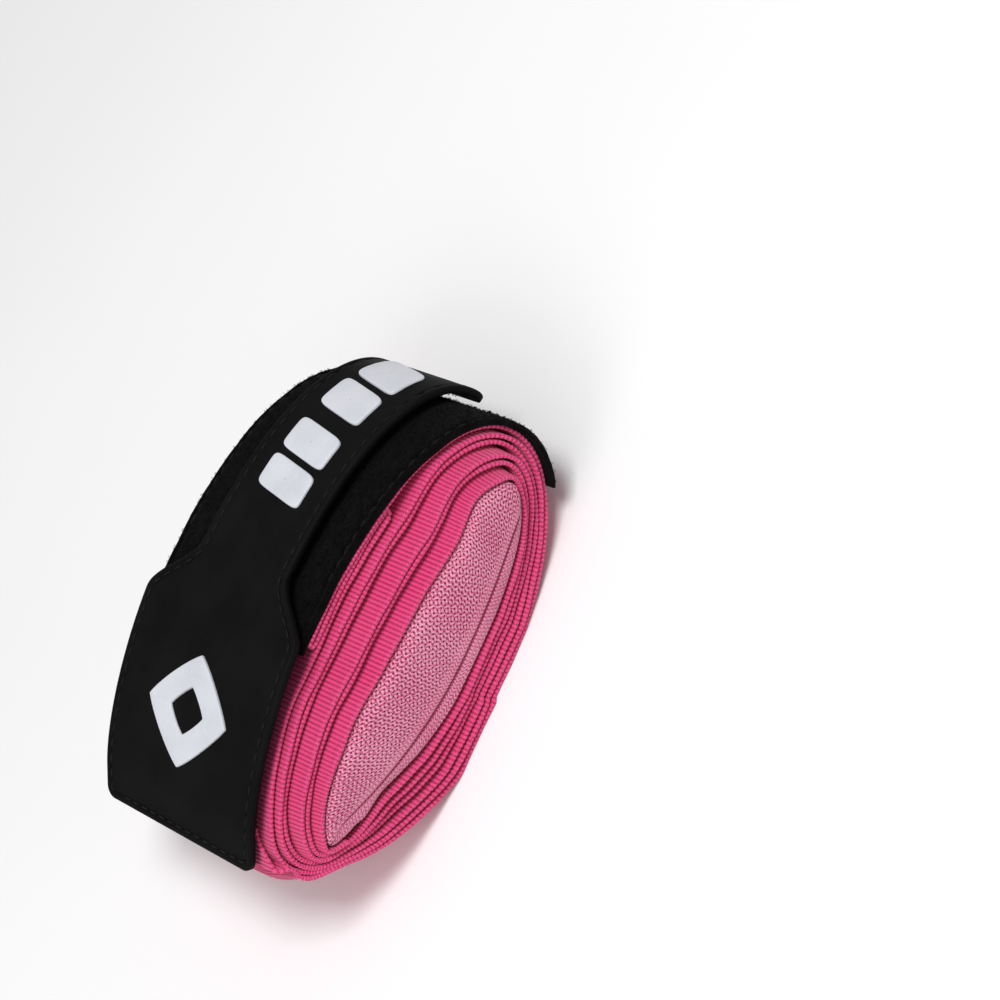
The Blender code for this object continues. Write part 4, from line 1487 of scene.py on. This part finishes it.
# ---------------------------------------------------------------------------------------------------
# The strap
# ---------------------------------------------------------------------------------------------------
@dataclass(frozen=True)
class StrapShape:
    """The strap's outline, heights and hinge lines along the rail."""

    width: float = 50.4
    shift: float = 1.7
    thickness: float = 1.6
    neck_width: float = 28.6
    corner: float = 2.6
    tip_corner: float = 3.0
    wide_lift: float = 1.2
    neck_lift: float = 3.4
    shoulder_x: tuple[float, float] = (-8.0, 5.0)
    drift_x: float = 25.0
    drift: float = 1.4
    hinge_x: tuple[float, float, float] = (-41.0, 8.0, 35.0)
    end_angle: float = -6.0

    @property
    def end(self) -> float:
        """The strap's length."""
        return RAIL.length_at_angle(self.end_angle)

    @property
    def hinges(self) -> tuple[float, float, float]:
        """Where the strap bends most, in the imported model's joints."""
        base, neck, tip = (RAIL.length_at_x(x) for x in self.hinge_x)
        return base, neck, tip

    @property
    def cuts(self) -> tuple[float, float]:
        """Where one bending piece of the strap ends and the next starts."""
        base, neck, tip = self.hinges
        return (base + neck) / 2.0, (neck + tip) / 2.0

    def lift(self, length: Array) -> Array:
        """The height of the rubber's underside over the band."""
        start, end = self.hinges[0], RAIL.length_at_x(self.shoulder_x[1])
        return lerp(self.wide_lift, self.neck_lift, smooth((length - start) / (end - start)))

    def half_width(self, length: Array) -> Array:
        """Half the strap's width, with its round corners and its flare.

        Args:
            length: Lengths along the rail.

        Returns:
            Half widths in mm.
        """
        length = np.asarray(length, float)
        start, end = (RAIL.length_at_x(x) for x in self.shoulder_x)
        half = lerp(self.width, self.neck_width, smooth((length - start) / (end - start))) / 2.0
        for radius, reach in ((self.corner, length), (self.tip_corner, self.end - length)):
            inside = np.clip(reach, 0.0, radius)
            half = half - (radius - np.sqrt(radius ** 2 - (radius - inside) ** 2))
        return half

    def middle(self, length: Array) -> Array:
        """The strap's centre line."""
        start = RAIL.length_at_x(self.drift_x)
        return WINDING.skew_top[0] - self.shift - self.drift * ramp(length, start, self.end - start)

    def outline(self) -> Array:
        """The strap's edge as a closed line of (length, across) points.

        Returns:
            The points.
        """
        reach = np.concatenate([np.linspace(0.0, 1.0, 12) ** 2 * self.corner,
                                np.arange(self.corner + 0.6, self.end - 3.4, 0.6),
                                self.end - np.linspace(1.0, 0.0, 10) ** 2 * self.tip_corner])
        half = self.half_width(reach)
        side = np.stack([reach, half], -1)
        start = np.stack([np.zeros(14), np.linspace(-half[0], half[0], 16)[1:-1]], -1)
        end = np.stack([np.full(14, self.end), np.linspace(half[-1], -half[-1], 16)[1:-1]], -1)
        return np.vstack([side, end, (side * [1.0, -1.0])[::-1], start])

    def edge_distance(self, length: Array, across: Array) -> Array:
        """The distance from points of the strap to its edge.

        Args:
            length: Lengths along the rail.
            across: Places across the strap.

        Returns:
            One distance for each point.
        """
        line = self.outline()
        a, b = line, np.roll(line, -1, 0)
        flat = np.stack([length.ravel(), across.ravel()], -1)
        best = np.full(len(flat), np.inf)
        for start, way in zip(a, b - a):
            share = np.clip(((flat - start) @ way) / max(1e-9, way @ way), 0.0, 1.0)
            best = np.minimum(best, np.linalg.norm(flat - start - share[:, None] * way, axis=1))
        return best.reshape(length.shape)

    def inset_line(self, inset: float) -> Array:
        """The line that runs inset mm inside the edge, as a closed line of (length, across) points.

        Args:
            inset: How far inside, in mm.

        Returns:
            The line.
        """
        line = self.outline()
        way = np.roll(line, -1, 0) - np.roll(line, 1, 0)
        way /= np.linalg.norm(way, axis=1, keepdims=True)
        inner = line + np.stack([way[:, 1], -way[:, 0]], -1) * inset
        kept = self.edge_distance(inner[:, :1], inner[:, 1:])[:, 0] > inset - 0.05
        return inner[kept]


SHAPE = StrapShape()


@dataclass(frozen=True)
class Stretch:
    """One piece of the strap, listed with the two bodies at its ends and the hinge between them."""

    name: str
    start: float
    end: float
    bodies: tuple[Body, Body]
    hinge: float
    ease: float = 5.0

    def bend(self, piece: bpy.types.Object) -> bpy.types.Object:
        """Bake a piece's placement into its mesh; it is not tied to either body.

        Args:
            piece: The piece.

        Returns:
            The same piece.
        """
        for length in (self.hinge - self.ease, self.hinge + self.ease):
            point, normal = RAIL.at(np.array(length))
            lift = float(SHAPE.lift(np.array(length)))
            middle = float(SHAPE.middle(np.array(length)))
        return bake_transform(piece)


@dataclass
class ClosingStrap:
    """The moulded rubber strap: cover, stitching, lining, hook tape and raised marks."""

    edge_radius: float = 0.55
    crown: float = 0.10
    rim: float = 0.10
    rim_inner: float = 1.2
    groove: float = 1.75
    groove_half: float = 0.42
    groove_depth: float = 0.38
    stitch: float = 2.3
    stitch_gap: float = 0.75
    hook_margin: float = 2.4
    hook_spacing: float = 1.5
    lining_end_x: float = -15.0
    hook_start_x: float = 1.5
    mark_lift: float = 0.08
    mark_edge: tuple[tuple[float, float], ...] = ((0.0, -0.1), (0.0, 0.32), (0.10, 0.47), (0.28, 0.56),
                                                  (0.55, 0.60))
    mark_crown: tuple[tuple[float, float], ...] = ((0.75, 0.62), (0.45, 0.63), (0.2, 0.63), (0.02, 0.63),
                                                   (0.02, -0.1), (0.5, -0.1))
    ring_x: float = -26.5
    ring_size: tuple[float, float] = (11.0, 13.0)
    ring_hole: float = 0.42
    bar_size: tuple[float, float] = (3.6, 7.6)
    bar_slant: float = 0.16
    bar_places: tuple[float, ...] = (-14.0, -5.4, 5.4, 14.0)
    stretches: list[Stretch] = field(init=False)

    def __post_init__(self) -> None:
        """Lay out the strap's bending pieces."""
        (base, neck, tip), (first, second) = SHAPE.hinges, SHAPE.cuts
        self.stretches = [
            Stretch("base", 0.0, first, (Body.ROLL, Body.MID), base, 4.0),
            Stretch("middle", first, second, (Body.MID, Body.NECK), neck),
            Stretch("end", second, SHAPE.end, (Body.NECK, Body.TIP), tip, 3.4),
        ]

    def top(self, distance: Array) -> Array:
        """The cover's height over its underside, by the distance to its edge.

        Args:
            distance: Distances to the cover's edge.

        Returns:
            Heights in mm.
        """
        radius = self.edge_radius
        inside = np.clip(distance, 0.0, radius)
        edge = SHAPE.thickness - radius + np.sqrt(radius ** 2 - (radius - inside) ** 2)
        rim = self.rim * (1.0 - ramp(distance, self.rim_inner - 0.2, 0.35))
        groove = self.groove_depth * (1.0 - ramp(np.abs(distance - self.groove), 0.08, self.groove_half))
        return edge + rim - groove + self.crown * ramp(distance, 2.2, 6.0)

    def columns(self, half: Array, offsets: Array, shares: Array) -> Array:
        """Places across the strap at each station: close lines by the edges, even ones between."""
        near = half[:, None] - offsets[None]
        inner = (half[:, None] - offsets[-1]) * shares[None]
        return np.concatenate([-near, inner, near[:, ::-1]], 1)

    def build_cover(self, palette: Palette) -> list[bpy.types.Object]:
        """Mould the rubber cover in three bending pieces that meet without a gap.

        Args:
            palette: The finishes.

        Returns:
            The pieces.
        """
        fine = np.array([0.0, 0.05, 0.14, 0.28, 0.48, 0.75, 1.0, 1.15, 1.3, 1.42, 1.54, 1.66, 1.75, 1.84,
                         1.96, 2.08, 2.22, 2.45, 2.9, 3.6])
        covers = []
        nodes = {"base": ("strap_cover_root", "strap_cover_mid"), "middle": ("strap_cover_neck",),
                 "end": ("strap_cover_tip",)}
        for stretch in self.stretches:
            length = np.linspace(stretch.start, stretch.end, int((stretch.end - stretch.start) / 0.55))
            if stretch is self.stretches[0]:
                length = np.concatenate([fine, np.arange(4.2, 9.8, 0.5), length[length > 10.0]])
            if stretch is self.stretches[-1]:
                length = np.concatenate([length[length < SHAPE.end - 4.0], SHAPE.end - fine[::-1]])
            half = SHAPE.half_width(length)
            across = self.columns(half, fine, np.linspace(-0.93, 0.93, 22))
            station = np.broadcast_to(length[:, None], across.shape)
            distance = SHAPE.edge_distance(station, across)
            ripple = 0.12 * wander(station, 21, 45.0) * smooth(distance / 6.0)
            upper = RAIL.lay(station, SHAPE.middle(station) + across,
                             SHAPE.lift(station) + self.top(distance) + ripple)
            under_across = self.columns(half, np.array([0.0, 0.25, 0.7]), np.linspace(-0.95, 0.95, 14))
            station = np.broadcast_to(length[:, None], under_across.shape)
            under_edge = np.minimum(half[:, None] - np.abs(under_across),
                                    np.minimum(station, SHAPE.end - station))
            curl = 0.25 * (1.0 - smooth(under_edge / 0.4))
            lower = RAIL.lay(station, SHAPE.middle(station) + under_across,
                             SHAPE.lift(station) + curl)[:, ::-1]
            rows = np.concatenate([upper, lower], 1)
            ring = np.concatenate([across, under_across[:, ::-1]], 1)
            cover = BENCH.loft(f"strap_rubber_{stretch.name}", rows, length[:, None], ring, sharp=60.0)
            palette.dress(cover, Slot.RUBBER)
            stretch.bend(cover)
            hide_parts(*nodes[stretch.name])
            covers.append(cover)
        return covers

    def build_stitches(self, palette: Palette) -> list[bpy.types.Object]:
        """Sew the stitches of the border, one by one, in the groove.

        Args:
            palette: The finishes.

        Returns:
            The pieces.
        """
        line = SHAPE.inset_line(self.groove)
        steps = lengths_along(line)
        count = int(steps[-1] / (self.stitch + self.stitch_gap))
        firsts = np.arange(count) * steps[-1] / count
        along = firsts[:, None] + np.linspace(0.0, self.stitch, 7)[None]
        length, across = np.moveaxis(points_at(along, steps, line), -1, 0)
        nodes = {"base": ("strap_seam_root", "strap_seam_mid_near", "strap_seam_mid_far"),
                 "middle": ("strap_seam_neck_near", "strap_seam_neck_far"), "end": ("strap_seam_tip",)}
        rise = SHAPE.lift(length) + SHAPE.thickness - self.groove_depth + 0.14
        rise = rise + 0.14 * np.sin(np.linspace(0.0, math.pi, 7))[None]
        path = RAIL.lay(length, SHAPE.middle(length) + across, rise)
        radius = np.broadcast_to(np.array([0.07, 0.17, 0.22, 0.23, 0.22, 0.17, 0.07]), length.shape)
        rings = tube_rings(path, RAIL.up(length), radius, 8)
        made = []
        for stretch in self.stretches:
            middle = length.mean(1)
            kept = (middle >= stretch.start) & (middle < stretch.end + 0.01)
            stitches = BENCH.scatter(f"border_stitches_{stretch.name}", rings[kept], self.stitch)
            palette.dress(stitches, Slot.THREAD)
            stretch.bend(stitches)
            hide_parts(*nodes[stretch.name])
            made.append(stitches)
        return made

    @staticmethod
    def slab(name: str, start: float, end: float, half: float, low: float, high: float) -> bpy.types.Object:
        """A layer under the cover, with soft edges.

        Args:
            name: Its name.
            start: Where it starts along the rail.
            end: Where it ends.
            half: Half its width.
            low: How far its underside lies below the cover's.
            high: How far its top does.

        Returns:
            The object.
        """
        length = np.arange(start, end + 0.01, (end - start) / max(8, int((end - start) / 0.8)))
        offsets = np.concatenate([EDGE_SOFTNESS, np.arange(1.5, half * 2.0 - 1.4, 1.2),
                                  half * 2.0 - EDGE_SOFTNESS[::-1]])
        soft = 0.5 * (1.0 - smooth(np.minimum(offsets, 2.0 * half - offsets) / 0.3))[None]
        station = np.broadcast_to(length[:, None], (len(length), len(offsets)))
        bottom, ceiling = SHAPE.lift(station) - low, SHAPE.lift(station) - high
        y = SHAPE.middle(station) - half + offsets[None]
        upper = RAIL.lay(station, y, lerp(ceiling, bottom, soft * 0.9))
        lower = RAIL.lay(station, y, lerp(bottom, ceiling, soft * 0.9))[:, ::-1]
        ring = np.concatenate([offsets, offsets[::-1]])[None]
        return BENCH.loft(name, np.concatenate([upper, lower], 1), length[:, None], ring)

    def build_lining(self, palette: Palette) -> bpy.types.Object:
        """Sew the webbing under the strap's wide part.

        Args:
            palette: The finishes.

        Returns:
            The piece.
        """
        stretch = self.stretches[0]
        start, end = 1.5, RAIL.length_at_x(self.lining_end_x)
        half = SHAPE.width / 2.0 - self.hook_margin
        lining = self.slab("web_lining", start, end, half, 0.9, 0.03)
        palette.dress(lining, Slot.WEBBING)
        Stretch("lining", start, end, stretch.bodies, stretch.hinge, stretch.ease).bend(lining)
        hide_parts("strap_lining_root", "strap_lining_mid")
        return lining

    def build_hooks(self, palette: Palette) -> list[bpy.types.Object]:
        """Lay the hook tape under the neck, with its rows of small hooks.

        Args:
            palette: The finishes.

        Returns:
            The pieces.
        """
        first = RAIL.length_at_x(self.hook_start_x)
        half = SHAPE.neck_width / 2.0 - self.hook_margin
        _, middle, tip = self.stretches
        spans = ((middle, first, middle.end, ("hook_tape_mid", "hook_tape_neck")),
                 (tip, tip.start, SHAPE.end - self.hook_margin, ("hook_tape_tip",)))
        pieces = []
        for stretch, start, end, nodes in spans:
            tape = self.slab(f"hook_tape_{stretch.name}", start, end, half, 0.55, 0.02)
            palette.dress(tape, Slot.HOOKS)
            stretch.bend(tape)
            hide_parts(*nodes)
            pieces.append(tape)
            length, across = np.meshgrid(np.arange(start + 0.9, end - 0.6, self.hook_spacing),
                                         np.arange(-half + 0.9, half - 0.6, self.hook_spacing), indexing="ij")
            length, across = length.ravel()[:, None], across.ravel()[:, None]
            turn = np.linspace(0.0, 1.0, 6)[None]
            curve = np.sin(math.pi * 0.62 * turn)
            sway = np.where((np.round(across / self.hook_spacing) % 2) == 0, 1.0, -1.0)
            place = length + sway * 0.34 * curve * turn
            path = RAIL.lay(place, SHAPE.middle(place) + across, SHAPE.lift(place) - (0.45 + 0.5 * curve))
            sideways = np.broadcast_to([0.0, 1.0, 0.0], path.shape)
            rings = tube_rings(path, sideways, np.full(path.shape[:2], 0.11), 4)
            hooks = BENCH.scatter(f"hooks_{stretch.name}", rings)
            palette.dress(hooks, Slot.HOOKS)
            stretch.bend(hooks)
            pieces.append(hooks)
        return pieces

    def raised(self, name: str, node: str, body: Body, outline: Array, centre: float, hole: float,
               palette: Palette) -> bpy.types.Object:
        """Raise a mark with soft edges on the cover.

        Args:
            name: Its name.
            node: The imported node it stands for.
            body: The body it rides on.
            outline: Its edge, as (length, across) points from its middle.
            centre: Where its middle lies along the rail.
            hole: The share of the outline left open in the middle, or 0.
            palette: The finishes.

        Returns:
            The object.
        """
        size = float(np.abs(outline).max())
        slopes = [(1.0 - inset / size, height) for inset, height in self.mark_edge]
        if hole > 0.0:
            inside = [(hole + inset / size, height) for inset, height in reversed(self.mark_edge)]
            between = [(lerp(slopes[-1][0], inside[0][0], share), slopes[-1][1])
                       for share in (0.25, 0.5, 0.75)]
            profile = [*slopes, *between, *inside]
        else:
            profile = [*slopes, *self.mark_crown]
        share = np.array([point[0] for point in profile])[None]
        rise = np.array([point[1] for point in profile])[None]
        length = centre + outline[:, :1] * share
        across = outline[:, 1:] * share
        lift = SHAPE.lift(length) + SHAPE.thickness + self.mark_lift + rise
        rows = RAIL.lay(length, SHAPE.middle(length) + across, lift)
        mark = BENCH.loft(name, rows, length, across, closed=True, sharp=70.0)
        palette.dress(mark, Slot.MARK)
        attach(mark, body.value)
        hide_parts(node)
        return mark

    def build_marks(self, palette: Palette) -> list[bpy.types.Object]:
        """Raise the diamond ring and the four slanted bars.

        Args:
            palette: The finishes.

        Returns:
            The pieces.
        """
        turn = np.linspace(0.0, 2.0 * math.pi, 96, endpoint=False)

        def rounded(size: tuple[float, float], power: float) -> Array:
            """A rounded outline of (length, across) points, from its two half sizes."""
            return np.array(size) * signed_power(np.stack([np.cos(turn), np.sin(turn)], -1), power)

        marks = [self.raised("diamond_ring", "emblem", Body.MID, rounded(self.ring_size, 1.75),
                             RAIL.length_at_x(self.ring_x), self.ring_hole, palette)]
        for number, reach in enumerate(self.bar_places, start=1):
            outline = rounded(self.bar_size, 0.28)
            outline[:, 0] += outline[:, 1] * self.bar_slant
            body = Body.NECK if number < 3 else Body.TIP
            marks.append(self.raised(f"slanted_bar_{number}", f"bar_{number}", body, outline,
                                     SHAPE.hinges[2] + reach, 0.0, palette))
        return marks


# ---------------------------------------------------------------------------------------------------
# The studio
# ---------------------------------------------------------------------------------------------------
@dataclass(frozen=True)
class Softbox:
    """A square area light that faces the wrap."""

    name: str
    azimuth: float
    elevation: float
    distance: float
    size: float
    power: float

    def hang(self, target: Vector) -> bpy.types.Object:
        """Hang the light.

        Args:
            target: What it faces.

        Returns:
            The light.
        """
        data = bpy.data.lights.new(self.name, "AREA")
        data.energy, data.size = self.power, self.size
        lamp = bpy.data.objects.new(self.name, data)
        bpy.context.scene.collection.objects.link(lamp)
        lamp.location = target + direction(self.azimuth, self.elevation) * self.distance
        lamp.rotation_euler = (target - lamp.location).to_track_quat("-Z", "Y").to_euler()
        return lamp


def direction(azimuth: float, elevation: float) -> Vector:
    """The way to something seen at an azimuth from -Y towards +X, and an elevation, in degrees."""
    flat = math.cos(math.radians(elevation))
    return Vector((math.sin(math.radians(azimuth)) * flat, -math.cos(math.radians(azimuth)) * flat,
                   math.sin(math.radians(elevation))))


@dataclass(frozen=True)
class Studio:
    """The pale floor, the soft lights and the camera."""

    azimuth: float = -6.3
    elevation: float = 42.8
    roll_line: float = 64.85
    distance: float = 0.6054
    field_width: float = 0.2004
    right: float = 0.0341
    up: float = 0.0222
    floor_reach: float = 3.0
    world_strength: float = 0.40
    boxes: tuple[Softbox, ...] = (
        Softbox("key", 30.0, 70.0, 0.9, 0.36, 5.6),
        Softbox("side", -75.0, 38.0, 0.9, 0.45, 1.8),
        Softbox("front", -35.0, 34.0, 1.1, 0.5, 0.7),
    )

    def build(self) -> None:
        """Set the whole studio up."""
        low, high = CAD_BOX
        centre = (Vector(low) + Vector(high)) / 2.0
        self.floor(float(low[2]))
        self.world()
        for box in self.boxes:
            box.hang(centre)
        self.camera(centre)

    def floor(self, height: float) -> None:
        """Lay the floor.

        Args:
            height: How high it lies.
        """
        mesh = bpy.data.meshes.new("floor")
        reach = self.floor_reach
        mesh.from_pydata([(-reach, -reach, height), (reach, -reach, height), (reach, reach, height),
                          (-reach, reach, height)], [], [(0, 1, 2, 3)])
        floor = bpy.data.objects.new("floor", mesh)
        bpy.context.scene.collection.objects.link(floor)
        graph = Graph("pale_floor")
        tone = graph.noise(120.0, 2.0)
        colour = graph.mix(tone, (0.86, 0.86, 0.865), (0.9, 0.9, 0.9))
        mesh.materials.append(graph.finish(colour, 0.55, tone, 0.01, {"Specular IOR Level": 0.3}))

    def world(self) -> None:
        """Surround the scene with soft white light."""
        world = bpy.data.worlds.new("soft_white")
        world.use_nodes = True
        surround = world.node_tree.nodes["Background"]
        surround.inputs["Color"].default_value = (1.0, 1.0, 1.0, 1.0)
        surround.inputs["Strength"].default_value = self.world_strength
        bpy.context.scene.world = world
        bpy.context.scene.view_settings.view_transform = "Standard"

    def camera(self, centre: Vector) -> None:
        """Aim the camera, turned so that the roll's +X line climbs the frame at roll_line degrees.

        Args:
            centre: The middle of the wrap.
        """
        back = direction(self.azimuth, self.elevation)
        right = Vector((0.0, 0.0, 1.0)).cross(back).normalized()
        up = back.cross(right)
        line = Vector((1.0, 0.0, 0.0))
        turn = math.atan2(line.dot(up), line.dot(right)) - math.radians(self.roll_line)
        right, up = (right * math.cos(turn) + up * math.sin(turn),
                     up * math.cos(turn) - right * math.sin(turn))
        data = bpy.data.cameras.new("camera")
        data.sensor_width = 36.0
        data.lens = data.sensor_width * self.distance / self.field_width
        data.clip_start, data.clip_end = 0.01, 20.0
        camera = bpy.data.objects.new("camera", data)
        bpy.context.scene.collection.objects.link(camera)
        spot = centre + right * self.right + up * self.up + back * self.distance
        camera.matrix_world = Matrix(((right.x, up.x, back.x, spot.x), (right.y, up.y, back.y, spot.y),
                                      (right.z, up.z, back.z, spot.z), (0.0, 0.0, 0.0, 1.0)))
        bpy.context.scene.camera = camera


def main() -> None:
    """Build every piece, then the studio round them."""
    logging.basicConfig(level=logging.INFO, format="%(name)s %(message)s")
    Studio().build()
    palette = Palette()
    band = WoundBand()
    band.build(palette)
    LOG.info("band length %.0f mm", band.length)
    sleeve = PaddedSleeve()
    sleeve.build_sleeve(palette)
    sleeve.build_foams(palette)
    sleeve.build_thumb_loop(palette)
    patch = LoopPatch()
    patch.build_patch(palette)
    patch.build_nap(palette)
    patch.build_seams(palette)
    LOG.info("patch length %.1f mm", patch.length)
    strap = ClosingStrap()
    strap.build_cover(palette)
    strap.build_stitches(palette)
    strap.build_lining(palette)
    strap.build_hooks(palette)
    strap.build_marks(palette)


if __name__ == "__main__":
    main()
